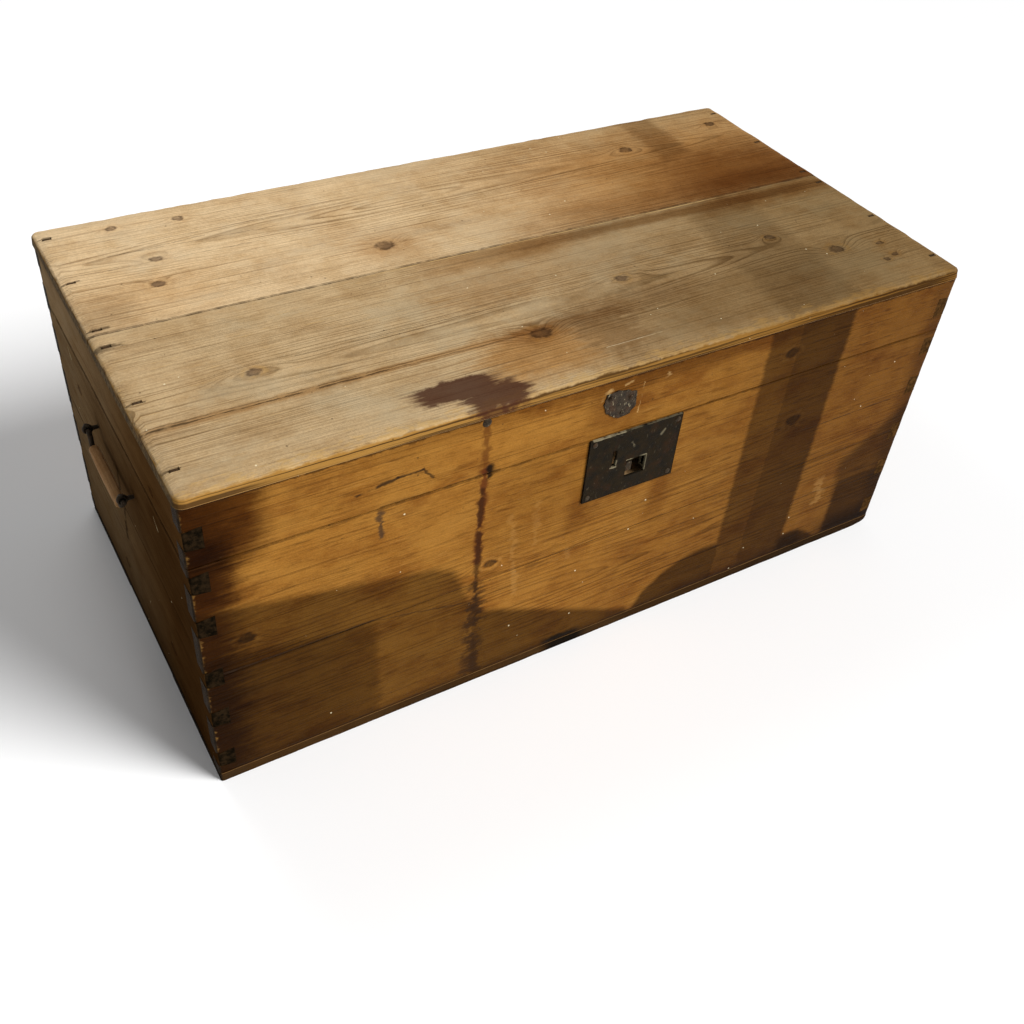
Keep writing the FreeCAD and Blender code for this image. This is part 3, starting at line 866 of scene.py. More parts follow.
class Wiring:
    """Short calls that add nodes to one tree."""

    def __init__(self, tree):
        self.tree = tree

    def put(self, socket, value):
        if isinstance(value, bpy.types.NodeSocket):
            self.tree.links.new(value, socket)
        else:
            socket.default_value = value

    def node(self, kind, inputs=(), **settings):
        step = self.tree.nodes.new(kind)
        for name, value in settings.items():
            setattr(step, name, value)
        for name, value in dict(inputs).items():
            self.put(step.inputs[name], value)
        return step

    def calc(self, operation, *values):
        return self.node("ShaderNodeMath", dict(enumerate(values)), operation=operation).outputs[0]

    plus = partialmethod(calc, "ADD")
    minus = partialmethod(calc, "SUBTRACT")
    times = partialmethod(calc, "MULTIPLY")
    over = partialmethod(calc, "DIVIDE")
    most = partialmethod(calc, "MAXIMUM")
    least = partialmethod(calc, "MINIMUM")

    def vector(self, operation, *values):
        step = self.node("ShaderNodeVectorMath", dict(enumerate(values)), operation=operation)
        return step.outputs["Value" if operation in ("LENGTH", "DOT_PRODUCT") else "Vector"]

    def scale(self, vector, size):
        return self.node("ShaderNodeVectorMath", {0: vector, "Scale": size}, operation="SCALE").outputs[0]

    def split(self, vector):
        return self.node("ShaderNodeSeparateXYZ", {0: vector}).outputs

    def join(self, x=0.0, y=0.0, z=0.0):
        return self.node("ShaderNodeCombineXYZ", {"X": x, "Y": y, "Z": z}).outputs[0]

    def fade(self, value, low, high, start=0.0, end=1.0):
        inputs = {"Value": value, "From Min": low, "From Max": high, "To Min": start, "To Max": end}
        return self.node("ShaderNodeMapRange", inputs, interpolation_type="SMOOTHSTEP").outputs[0]

    def noise(self, place, scale=1.0, detail=2.0, rough=0.5):
        inputs = {"Vector": place, "Scale": scale, "Detail": detail, "Roughness": rough}
        return self.node("ShaderNodeTexNoise", inputs).outputs

    def grained(self, place, stretch, detail=2.0, rough=0.5):
        return self.noise(self.vector("MULTIPLY", place, stretch), 1.0, detail, rough)[0]

    def mix(self, share, first, second, kind="MIX"):
        step = self.node("ShaderNodeMix", data_type="RGBA", blend_type=kind)
        for name, value in (("Factor_Float", share), ("A_Color", first), ("B_Color", second)):
            self.put(next(s for s in step.inputs if s.identifier == name), value)
        return next(s for s in step.outputs if s.identifier == "Result_Color")

    def bump(self, height, strength, distance):
        inputs = {"Height": height, "Strength": strength, "Distance": distance}
        return self.node("ShaderNodeBump", inputs).outputs[0]

    def group(self, name, inputs):
        return self.node("ShaderNodeGroup", inputs, node_tree=bpy.data.node_groups[name]).outputs


def start_group(name, inputs, outputs):
    """An empty node group with named sockets: v for vectors, f for values."""
    kinds = {"v": "NodeSocketVector", "f": "NodeSocketFloat"}
    tree = bpy.data.node_groups.new(name, "ShaderNodeTree")
    for label, kind in inputs.items():
        tree.interface.new_socket(label, in_out="INPUT", socket_type=kinds[kind])
    for label in outputs:
        tree.interface.new_socket(label, in_out="OUTPUT", socket_type=kinds["f"])
    wires = Wiring(tree)
    return wires, wires.node("NodeGroupInput").outputs, wires.node("NodeGroupOutput").inputs


print("wiring helpers ready")

# %% [markdown]
# ## Pine grain
# A board is a slice through a tree, so its pattern is a slice through nested rings.
# We measure how far each point lies from the pith. A bowed pith gives the pointed loops of a flat sawn board.
# Each ring darkens slowly and ends sharply.
# Long thin noise adds fibres, dark hairlines, pale scuffs, dirt and dust.

# %% Node group: pine grain
bow_limit = 250.0
net, enter, leave = start_group(
    "pine_grain",
    {"Board": "v", "Pith": "v", "Bow": "f", "Ring width": "f", "Swell": "f", "Wander": "f"},
    ("Ring", "Fibre", "Hairline", "Fleck", "Mottle", "Dust"),
)
board = enter["Board"]
along, across, through = net.split(net.vector("SUBTRACT", board, enter["Pith"]))
square = net.times(along, along)
bend = net.over(square, net.plus(1.0, net.over(square, bow_limit ** 2)))
depth = net.plus(through, net.times(bend, enter["Bow"]))
reach = net.calc("SQRT", net.plus(net.times(across, across), net.times(depth, depth)))
slow = net.minus(net.grained(board, (0.0024, 0.015, 0.015)), 0.5)
reach = net.plus(net.plus(reach, net.times(slow, enter["Wander"])), enter["Swell"])
years = net.over(reach, enter["Ring width"])
years = net.plus(years, net.times(net.noise(net.join(years), 0.4, 2.0)[0], 3.5))
season = net.calc("FRACT", years)
late = net.times(net.fade(season, 0.45, 0.88), net.fade(season, 0.90, 1.0, 1.0, 0.0))
strength = net.fade(net.grained(board, (0.006, 0.028, 0.028), 3.0), 0.28, 0.66, 0.2, 1.0)
strength = net.times(strength, net.fade(net.calc("ABSOLUTE", across), 35.0, 95.0, 1.0, 0.4))
net.put(leave["Ring"], net.times(late, strength))
net.put(leave["Fibre"], net.grained(board, (0.020, 1.0, 1.0), 4.0, 0.7))
net.put(leave["Hairline"], net.fade(net.grained(board, (0.0032, 0.36, 0.36), 3.0, 0.55), 0.585, 0.655))
scuff = net.grained(net.vector("ADD", board, (90, 40, 20)), (0.022, 0.42, 0.42), 4.0, 0.62)
net.put(leave["Fleck"], net.fade(scuff, 0.62, 0.70))
net.put(leave["Mottle"], net.grained(board, (0.014, 0.030, 0.030), 8.0, 0.68))
net.put(leave["Dust"], net.grained(board, (0.011, 0.014, 0.014), 8.0, 0.68))
print("pine_grain has", len(net.tree.nodes), "nodes")

# %% [markdown]
# ## Knots
# A knot swells the rings round it, so the grain flows past.
# It has a dark heart, a broken rim, a pale collar and a brown halo.
# Each of them fades with the distance from the middle of the knot.

# %% Node group: knot
net, enter, leave = start_group(
    "knot",
    {"Board": "v", "Ragged": "v", "Place": "v", "Radius": "f", "Pull": "f"},
    ("Swell", "Heart", "Rim", "Collar", "Halo"),
)
off = net.vector("MULTIPLY", net.vector("SUBTRACT", enter["Board"], enter["Place"]), (1, 1, 0))
torn_off = net.vector("ADD", off, net.vector("MULTIPLY", enter["Ragged"], (3, 9, 0)))
reach = net.over(net.vector("LENGTH", net.vector("MULTIPLY", torn_off, (0.8, 1.15, 0))), enter["Radius"])
patchy = net.noise(net.vector("ADD", enter["Board"], enter["Place"]), 0.16, 3.0, 0.6)[0]
net.put(leave["Heart"], net.fade(reach, 0.7, 1.15, 1.0, 0.0))
bark = net.times(net.fade(reach, 0.45, 0.85), net.fade(reach, 0.95, 1.3, 1.0, 0.0))
net.put(leave["Rim"], net.times(bark, net.fade(patchy, 0.36, 0.62)))
collar = net.times(net.fade(reach, 1.1, 1.4), net.fade(reach, 1.6, 2.3, 1.0, 0.0))
net.put(leave["Collar"], net.times(collar, net.fade(patchy, 0.64, 0.4)))
net.put(leave["Halo"], net.fade(reach, 0.9, 3.4, 1.0, 0.0))
x, y, z = net.split(off)
long_reach = net.over(x, net.times(enter["Radius"], enter["Pull"]))
wide_reach = net.over(y, net.times(enter["Radius"], 1.8))
square = net.plus(net.times(long_reach, long_reach), net.times(wide_reach, wide_reach))
hump = net.calc("EXPONENT", net.times(square, -1.0))
net.put(leave["Swell"], net.times(hump, net.times(enter["Radius"], -1.8)))
print("knot has", len(net.tree.nodes), "nodes")

# %% [markdown]
# ## Stains, cracks and specks
# A stain is a soft patch whose edge is drawn out along the fibres.
# A crack is a wobbling line of uneven width.
# Paint specks are tiny dots, one in some of the cells of a Voronoi pattern.

# %% Node groups: stain, crack and specks
net, enter, leave = start_group(
    "stain",
    {"Board": "v", "Ragged": "v", "Place": "v", "Size": "v", "Turn": "f", "Soft": "f", "Rough": "f"},
    ("Mask",),
)
off = net.vector("SUBTRACT", enter["Board"], enter["Place"])
off = net.vector("ADD", off, net.scale(enter["Ragged"], enter["Rough"]))
turned = net.node("ShaderNodeVectorRotate", {"Vector": off, "Angle": enter["Turn"]}, rotation_type="Z_AXIS")
x, y, z = net.split(net.vector("ABSOLUTE", net.vector("DIVIDE", turned.outputs[0], enter["Size"])))
reach = net.calc("POWER", net.plus(net.calc("POWER", x, 4.0), net.calc("POWER", y, 4.0)), 0.25)
low, high = net.minus(1.0, enter["Soft"]), net.plus(1.0, enter["Soft"])
net.put(leave["Mask"], net.fade(reach, low, high, 1.0, 0.0))

net, enter, leave = start_group(
    "crack",
    {"Board": "v", "Ragged": "v", "Start": "v", "End": "v", "Width": "f", "Wobble": "f"},
    ("Mask",),
)
wobbly = net.vector("ADD", enter["Board"], net.scale(enter["Ragged"], enter["Wobble"]))
run = net.vector("SUBTRACT", enter["End"], enter["Start"])
step = net.vector("SUBTRACT", net.vector("MULTIPLY", wobbly, (1, 1, 0)), enter["Start"])
share = net.over(net.vector("DOT_PRODUCT", step, run), net.vector("DOT_PRODUCT", run, run))
share = net.node("ShaderNodeClamp", {"Value": share}).outputs[0]
gap = net.vector("LENGTH", net.vector("SUBTRACT", step, net.scale(run, share)))
uneven = net.noise(enter["Board"], 0.075, 4.0, 0.6)[0]
width = net.times(enter["Width"], net.fade(uneven, 0.33, 0.66, 0.45, 1.45))
whole = net.fade(net.noise(net.vector("ADD", enter["Board"], (50, 20, 9)), 0.05, 3.0)[0], 0.30, 0.46)
net.put(leave["Mask"], net.times(whole, net.fade(gap, net.times(width, 0.2), width, 1.0, 0.0)))

net, enter, leave = start_group(
    "specks", {"Board": "v", "Spacing": "f", "Size": "f", "Share": "f"}, ("Mask",)
)
spread = net.over(1.0, enter["Spacing"])
cell = net.node("ShaderNodeTexVoronoi", {"Vector": enter["Board"], "Scale": spread}).outputs
luck = net.fade(net.split(cell["Color"])[0], net.minus(1.0, enter["Share"]), 1.0)
size = net.times(net.times(luck, spread), enter["Size"])
dot = net.calc("LESS_THAN", cell["Distance"], size)
net.put(leave["Mask"], net.times(dot, net.calc("GREATER_THAN", size, 0.0)))
print("groups:", [group.name for group in bpy.data.node_groups])

# %% [markdown]
# ## Edge wear
# Hands, ropes and floors rub the edges first. A point is near an edge when it is close to two faces at once.
# So we take its distances to the three pairs of faces of a box and use the middle one of the three.

# %% Node group: edge wear
net, enter, leave = start_group(
    "edge_wear", {"Place": "v", "Low": "v", "High": "v", "Width": "f"}, ("Mask",)
)
from_low = net.vector("SUBTRACT", enter["Place"], enter["Low"])
from_high = net.vector("SUBTRACT", enter["High"], enter["Place"])
x, y, z = net.split(net.vector("MINIMUM", from_low, from_high))
middle = net.most(net.least(x, y), net.least(net.most(x, y), z))
lumps = net.minus(net.grained(enter["Place"], (0.05, 0.13, 0.13), 8.0, 0.72), 0.48)
uneven = net.times(lumps, net.times(enter["Width"], 7.0))
start, end = net.times(enter["Width"], 0.1), net.times(enter["Width"], 1.1)
net.put(leave["Mask"], net.fade(net.plus(middle, uneven), start, end, 1.0, 0.0))
print("edge_wear has", len(net.tree.nodes), "nodes")

# %% [markdown]
# ## One recipe for all the pine
# Every board uses the same recipe with its own lists of knots, stains and cracks.
# The recipe turns Object coordinates into the board's own directions:
# along the grain, across it and through it.
# Then a coat of colour is built up in thin layers, by glazes that darken and by paints that cover.

# %% The board's own directions and its coat of colour
Ground = namedtuple("Ground", "place along across through board ragged crumbs")
Tones = namedtuple("Tones", "early late worn dirt grey")


def lay_ground(net, way):
    """Places in mm along, across and through a board, and a ragged offset that follows its fibres."""
    place = net.scale(net.node("ShaderNodeTexCoord").outputs["Object"], 1 / mm)
    parts = net.split(place)
    along, across, through = (parts["xyz".index(letter)] for letter in way)
    board = net.join(along, across, through)
    crumbs = net.split(net.vector("SUBTRACT", net.noise(board, 0.07, 6.0, 0.62)[1], (0.5, 0.5, 0.5)))
    threads = net.minus(net.grained(board, (0.012, 0.25, 0.25), 4.0, 0.6), 0.5)
    ragged = net.join(net.plus(net.times(threads, 2.2), crumbs[0]), crumbs[1])
    return Ground(place, along, across, through, board, ragged, crumbs)


class Coat:
    """The colour of one material while it is built up."""

    def __init__(self, net, ground, colour):
        self.net, self.ground, self.colour = net, ground, colour

    def glaze(self, mask, tone, share=1.0):
        """Darken by a tone where a mask is."""
        self.colour = self.net.mix(self.net.times(mask, share), self.colour, tone, "MULTIPLY")

    def cover(self, mask, tone, share=1.0):
        """Paint over with a tone where a mask is."""
        self.colour = self.net.mix(self.net.times(mask, share), self.colour, tone)


print("a coat takes its tones in the order", Tones._fields)

# %% [markdown]
# ## The wood under the dirt
# Knots come first, because they push the rings aside.
# Boards that are glued together come from different places in the tree, so past each seam the grain jumps.
# Fibres and pores then break up the smooth rings.

# %% Knots, grain and dust
def grow_knots(net, ground, knots):
    """What the knots do together; a knot is a place along and across, a radius and a pull."""
    effect = dict.fromkeys(("Swell", "Heart", "Rim", "Collar", "Halo"), 0.0)
    for along, across, radius, pull in knots:
        knot = net.group("knot", {
            "Board": ground.board, "Ragged": ground.ragged, "Place": (along, across, 0),
            "Radius": radius, "Pull": pull,
        })
        for label, so_far in effect.items():
            effect[label] = (net.plus if label == "Swell" else net.most)(so_far, knot[label])
    return effect


def past_seams(net, ground, seams):
    """The board's places, shifted past each seam."""
    sawn = ground.board
    for seam, (jump_along, jump_across) in seams:
        past = net.calc("GREATER_THAN", ground.across, seam)
        sawn = net.vector("ADD", sawn, net.scale((jump_along, jump_across, 0), past))
    return sawn


def lay_grain(coat, grain, tones, hair):
    """Fibres and dark hairlines over the rings."""
    net = coat.net
    crumbly = net.fade(net.noise(coat.ground.board, 0.5, 5.0, 0.75)[0], 0.25, 0.75, 0.84, 1.14)
    streak = net.times(net.fade(grain["Fibre"], 0.25, 0.75, 0.84, 1.12), crumbly)
    coat.glaze(1.0, net.join(streak, streak, streak))
    coat.glaze(grain["Hairline"], tones.late, hair)


def lay_dirt(coat, grain, halo, tones, dirty, open_grain, blotch):
    """Cloudy dirt, a brown halo round each knot, dark open pores and soft blotches."""
    net, board = coat.net, coat.ground.board
    coat.glaze(net.fade(grain["Mottle"], 0.42, 0.72), tones.dirt, dirty)
    coat.glaze(halo, paint(206, 180, 150), 0.4)
    pores = net.grained(net.vector("ADD", board, (40, 70, 10)), (0.028, 0.26, 0.26), 5.0, 0.62)
    coat.glaze(net.fade(pores, 0.55, 0.66), tones.late, open_grain)
    clouds = net.fade(net.noise(board, 0.021, 6.0, 0.68)[0], 0.42, 0.64)
    coat.glaze(clouds, paint(218, 203, 178), blotch)


def lay_dust(coat, grain, knot, tones, dust, fleck, heart_tone):
    """Grey dust and pale scuffs, then the collar, heart and rim of each knot."""
    net = coat.net
    coat.cover(net.fade(grain["Dust"], 0.46, 0.68), tones.grey, dust)
    coat.cover(grain["Fleck"], tones.worn, fleck)
    coat.cover(knot["Collar"], tones.worn, 0.3)
    coat.cover(knot["Heart"], paint(*heart_tone), net.fade(coat.ground.crumbs[1], -0.2, 0.2, 0.45, 0.8))
    coat.cover(knot["Rim"], paint(46, 33, 23), 0.6)


print("recipe for clean wood ready")

# %% [markdown]
# ## The marks of age, and painted shadows
# A painted shadow is a large dark patch with straight sides, given by its corners: a cast shadow painted into
# the colour.
# A stain or a spill is a smaller one, given by its middle, its half sizes and its turn.
# All of them say how soft and how ragged the edge is, and how strong.
# A crack is given by its two ends, its width and its wobble. The dark ones are also cut into the relief.

# %% Painted shadows, stains, worn edges and cracks
groove_limit = 120


def lay_painted_shadows(coat, painted_shadows, tone):
    """Painted shadows: large dark patches; a point is inside when it is inside of every side."""
    net, ground = coat.net, coat.ground
    shade = 0.0
    for corners, soft, jag, share in painted_shadows:
        edge_place = net.vector("ADD", ground.board, net.scale(ground.ragged, jag))
        inside_by = None
        for here, there in zip(corners, corners[1:] + corners[:1]):
            run = Vector(there) - Vector(here)
            inward = Vector((run.y, -run.x, 0)).normalized()
            gap = net.minus(net.vector("DOT_PRODUCT", edge_place, inward), inward.to_2d().dot(Vector(here)))
            inside_by = gap if inside_by is None else net.least(inside_by, gap)
        shade = net.most(shade, net.fade(inside_by, -soft, soft, 0.0, share))
    coat.glaze(shade, paint(*tone))


def patch(coat, along, across, half_along, half_across, turn, soft, jag):
    """The mask of one stain."""
    return coat.net.group("stain", {
        "Board": coat.ground.board, "Ragged": coat.ground.ragged, "Place": (along, across, 0),
        "Size": (half_along, half_across, 1), "Turn": math.radians(-turn), "Soft": soft, "Rough": jag,
    })["Mask"]


def lay_spills(coat, spills, tone):
    """Spills that hide the wood under them, all in one tone."""
    net = coat.net
    spilt = 0.0
    for *shape, share in spills:
        spilt = net.most(spilt, net.times(patch(coat, *shape), share))
    coat.cover(spilt, paint(*tone))


def rub_edges(coat, wear, tone):
    """Pale wear along the edges of boxes; each is two corners, a width and a share."""
    for low, high, width, share in wear:
        inputs = {"Place": coat.ground.place, "Low": low, "High": high, "Width": width}
        coat.cover(coat.net.group("edge_wear", inputs)["Mask"], tone, share)


def lay_skirt(coat, start, end, tone, line_tone):
    """Another colour for the sides of a plank, from one height down to another, with dark lines along it."""
    net, ground = coat.net, coat.ground
    lines = net.fade(net.grained(ground.board, (0.004, 0.02, 0.45), 3.0), 0.44, 0.58)
    uneven = net.plus(ground.through, net.times(ground.crumbs[0], 7.0))
    coat.cover(net.fade(uneven, start, end, 0.0, 0.95), net.mix(lines, paint(*tone), paint(*line_tone)))


def draw_cracks(coat, cracks):
    """Cracks, runs and scratches; hands back the grooves of the dark ones."""
    net, ground = coat.net, coat.ground
    groove = 0.0
    for along, across, end_along, end_across, width, wobble, tone, share in cracks:
        crack = net.group("crack", {
            "Board": ground.board, "Ragged": ground.ragged, "Start": (along, across, 0),
            "End": (end_along, end_across, 0), "Width": width, "Wobble": wobble,
        })
        mask = net.times(crack["Mask"], share)
        coat.cover(mask, paint(*tone))
        if sum(tone) < groove_limit:
            groove = net.most(groove, mask)
    return groove


def scatter(coat, shift_by, spacing, size, share, tone, strength):
    """Tiny dots in one tone; hands back their mask."""
    place = coat.net.vector("ADD", coat.ground.board, shift_by)
    inputs = {"Board": place, "Spacing": spacing, "Size": size, "Share": share}
    dots = coat.net.group("specks", inputs)["Mask"]
    coat.cover(dots, paint(*tone), strength)
    return dots


print("recipe for marks ready")

# %% [markdown]
# ## The whole recipe
# The layers go on in one order: grain, dirt, dust, painted shadows, stains, wear, spills, cracks and specks.
# Behind the weathered skin the wood is cleaner.
# Board ends show end grain, which drinks dirt and goes nearly black.

# %% The pine recipe
def close_pine(coat, sockets, grain, groove, pits, rough, gloss):
    """Wire the finished colour, the roughness and the relief to the shader."""
    net = coat.net
    net.put(sockets["Base Color"], coat.colour)
    net.put(sockets["Roughness"], net.fade(grain["Fibre"], 0.2, 0.8, rough - 0.1, rough + 0.14))
    sockets["Specular IOR Level"].default_value = gloss
    sockets["Specular Tint"].default_value = paint(255, 226, 180)
    relief = net.plus(net.times(grain["Ring"], 0.3), net.times(grain["Fibre"], 0.7))
    relief = net.minus(relief, net.times(grain["Hairline"], 0.35))
    relief = net.minus(relief, net.plus(groove, net.times(pits, 0.8)))
    relief = net.plus(relief, net.times(coat.ground.crumbs[2], 0.5))
    net.put(sockets["Normal"], net.bump(relief, 0.6, 0.0009))


def pine_finish(
    name, way, pith, bow, ring_width, tones, skin, ends,
    knots=(), seams=(), painted_shadows=(), stains=(), spills=(), cracks=(), wear=(), skirt=None, drift=None,
    painted_shadow_tone=(170, 160, 146), spill_tone=(28, 20, 12), heart_tone=(98, 78, 60), inside=(176, 134, 84),
    end_tones=((20, 15, 10), (50, 37, 22)), wander=20.0, ring_share=0.6, dust=0.4, dirty=0.4, hair=0.3,
    fleck=0.35, blotch=0.4, open_grain=0.15, specks=0.4, rough=0.62, gloss=0.02,
):
    """A pine material; places are in mm, along and across the board."""
    material, sockets = start_material(name)
    net = Wiring(material.node_tree)
    ground = lay_ground(net, way)
    tones = Tones(*(paint(*tone) for tone in tones))
    knot = grow_knots(net, ground, knots)
    grain = net.group("pine_grain", {
        "Board": past_seams(net, ground, seams), "Pith": pith, "Bow": bow, "Ring width": ring_width,
        "Swell": knot["Swell"], "Wander": wander,
    })
    coat = Coat(net, ground, net.mix(net.times(grain["Ring"], ring_share), tones.early, tones.late))
    lay_grain(coat, grain, tones, hair)
    lay_dirt(coat, grain, knot["Halo"], tones, dirty, open_grain, blotch)
    clean = net.mix(0.4, coat.colour, paint(*inside))
    lay_dust(coat, grain, knot, tones, dust, fleck, heart_tone)
    lay_painted_shadows(coat, painted_shadows, painted_shadow_tone)
    for *shape, tone, share in stains:
        coat.glaze(patch(coat, *shape), paint(*tone), share)
    rub_edges(coat, wear, tones.worn)
    if skirt:
        lay_skirt(coat, *skirt)
    if drift:
        start, end, tone = drift
        coat.glaze(net.fade(ground.along, start, end), paint(*tone))
    lay_spills(coat, spills, spill_tone)
    groove = draw_cracks(coat, cracks)
    scatter(coat, (0, 0, 0), 17.0, 1.05, specks, (222, 208, 172), 0.75)
    pits = scatter(coat, (7, 3, 11), 13.0, 1.2, 0.34, (54, 38, 22), 0.55)
    coat.colour = net.mix(net.fade(ground.through, *skin), clean, coat.colour)
    end_grain = net.fade(net.calc("ABSOLUTE", ground.along), ends - 2.2, ends - 1.0)
    pores = net.fade(net.noise(ground.board, 0.16, 7.0, 0.75)[0], 0.38, 0.66)
    coat.cover(end_grain, net.mix(pores, *(paint(*tone) for tone in end_tones)))
    close_pine(coat, sockets, grain, groove, pits, rough, gloss)
    print(f"{name}: {len(material.node_tree.nodes)} nodes")
    return material


print("pine recipe ready")

# %% [markdown]
# ## The top's finish
# Bare pine that has been scrubbed, leaned on and spilt on.
# It is grey-tan on the left and darker and browner to the right, partly as painted light that falls off away
# from the left rear.
# The places of knots, spills and dark lines were read off the chest. The front nosing is rubbed pale.

# %% Finish the top planks
# The rear plank's tones are lighter than the front's, partly as painted light from the left rear.
front_top_tones = ((179, 153, 115), (115, 90, 57), (184, 146, 84), (200, 176, 142), (168, 153, 124))
rear_top_tones = ((200, 173, 134), (132, 105, 70), (216, 188, 142), (204, 180, 146), (186, 168, 138))
amber, brown, deep_brown, spill = (236, 212, 176), (216, 192, 160), (186, 162, 132), (64, 35, 25)
line = (44, 30, 18)
# These drifts darken each plank towards the right: a painted fall-off of the light from the left rear.
front_light_falloff, rear_light_falloff = (-250, 420, (197, 188, 171)), (-250, 420, (216, 207, 190))
top_ends = ((66, 51, 31), (106, 85, 54))
top_skin, top_skirt = (392.2, 392.8), (403.0, 400.5, (150, 109, 50), (74, 48, 18))
front_nosing = ((-600, -244, 380), (600, 400, 405), 13.0, 0.45)
finishes = {}
finishes["top_plank_front"] = pine_finish(
    "pine_top_front", "xyz", (-90, -115, 393), 0.00028, 3.6, front_top_tones, top_skin, top_x,
    knots=[(-345, -101, 6, 5), (80, -100, 6, 5), (-58, -156, 9, 3), (357, -148, 8, 4), (299, -94, 5, 3),
           (416, -185, 4, 2), (398, -190, 3.5, 2), (417, -158, 4, 2)],
    # A painted shadow: a dark band across the plank at the right.
    painted_shadows=[([(236, -12), (335, -12), (316, -236), (205, -240)], 12, 12, 0.36)],
    spills=[(-184, -206, 46, 15, 0, 0.2, 22, 0.9), (-152, -228, 34, 17, 0, 0.2, 22, 0.9),
            (-158, -246, 14, 20, 0, 0.3, 16, 0.7)],
    spill_tone=spill,
    stains=[(240, -2, 240, 9, -1, 0.5, 10, deep_brown, 0.8), (-10, 0, 90, 20, 0, 0.5, 24, brown, 0.7),
            (380, -6, 110, 20, 0, 0.6, 20, brown, 0.8), (-20, -50, 110, 40, 0, 0.8, 50, brown, 0.25),
            (-80, -187, 58, 38, 0, 0.5, 40, (242, 206, 150), 0.7),
            (15, -180, 32, 42, 0, 0.4, 50, deep_brown, 0.6),
            (-70, -62, 60, 26, 0, 0.5, 60, brown, 0.35), (70, -142, 70, 20, 0, 0.4, 50, deep_brown, 0.4),
            (-58, -152, 40, 16, 0, 0.8, 30, deep_brown, 0.7), (-250, -149, 230, 5, 0, 0.7, 8, brown, 0.8),
            # The next stain is a faint painted shadow over the right end of the plank.
            (410, -120, 120, 130, 0, 0.8, 50, (196, 184, 160), 0.15),
            (170, -185, 160, 60, 0, 0.7, 40, (206, 196, 180), 0.8)],
    cracks=[(-470, -148, -227, -150, 1.8, 3, line, 0.75), (-470, -144, -200, -147, 1.2, 4, line, 0.5),
            (-230, -150, -40, -152, 1.2, 5, line, 0.45), (-470, 17.2, 470, 13.2, 1.5, 0.3, line, 0.8),
            (-466, -205, -452, -205, 2.2, 3, line, 0.6), (-466, -102, -450, -103, 2.4, 3, line, 0.6),
            (-466, -149, -446, -150, 2.0, 3, line, 0.6), (-466, -5, -444, -6, 6.0, 10, line, 0.7),
            (-300, -92, -60, -96, 1.0, 6, line, 0.35), (100, -92, 260, -96, 1.0, 6, line, 0.35),
            # A pale line along the lower lip of the joint: a painted highlight.
            (-160, 14, 300, 11.6, 1.2, 0.6, (196, 160, 104), 0.5),
            (-10, -206, 60, -206, 1.0, 2, (206, 190, 156), 0.5)],
    wear=[front_nosing, ((-470, -400, 380), (470, 400, 405), 5.0, 0.3)],
    drift=front_light_falloff, ring_share=0.75, specks=0.5,
    skirt=top_skirt, end_tones=top_ends,
)
finishes["top_plank_rear"] = pine_finish(
    "pine_top_rear", "xyz", (-75, 154, 394), 0.00028, 3.8, rear_top_tones, top_skin, top_x,
    knots=[(-364, 134, 6, 3), (-377, 85, 6, 3), (-389, 214, 5, 3), (-316, 209, 5, 3), (-128, 65, 9, 3),
           (270, 167, 7, 3), (429, 192, 6, 3)],
    # A painted shadow: a dark band across the rear plank at the right.
    painted_shadows=[([(306, 246), (358, 246), (350, 130), (300, 120)], 10, 12, 0.6)], painted_shadow_tone=(178, 160, 134),
    stains=[(-128, 68, 40, 26, 0, 0.8, 30, brown, 0.6), (330, 34, 220, 26, 0, 0.8, 24, deep_brown, 0.7),
            (392, 64, 120, 66, 0, 0.7, 40, (172, 144, 110), 0.85),
            (300, 100, 200, 100, 0, 0.8, 60, (230, 200, 158), 0.9),
            (430, 30, 90, 30, 0, 0.8, 20, brown, 0.4), (-385, 70, 60, 40, 0, 0.8, 40, amber, 0.35),
            (-440, 50, 30, 30, 0, 0.8, 30, (180, 166, 144), 0.5)],
    cracks=[(-466, 220, -452, 220, 2.4, 3, line, 0.6), (-466, 121, -448, 122, 2.2, 3, line, 0.6),
            (-466, 27, -446, 27, 3.0, 4, line, 0.7), (-409, 158, -206, 152, 1.0, 5, line, 0.4),
            (-409, 156, -300, 163, 1.0, 5, line, 0.4), (-470, 172, -200, 174, 1.0, 6, line, 0.35),
            (-470, 131, -150, 127, 1.0, 6, line, 0.35), (100, 140, 240, 146, 1.0, 6, line, 0.3),
            (-470, 19.2, 470, 15.2, 1.3, 0.3, line, 0.6)],
    wear=[((-470, -400, 380), (470, 244, 405), 5.0, 0.3)], drift=rear_light_falloff, ring_share=0.75, specks=0.5,
    skirt=top_skirt, end_tones=top_ends,
)
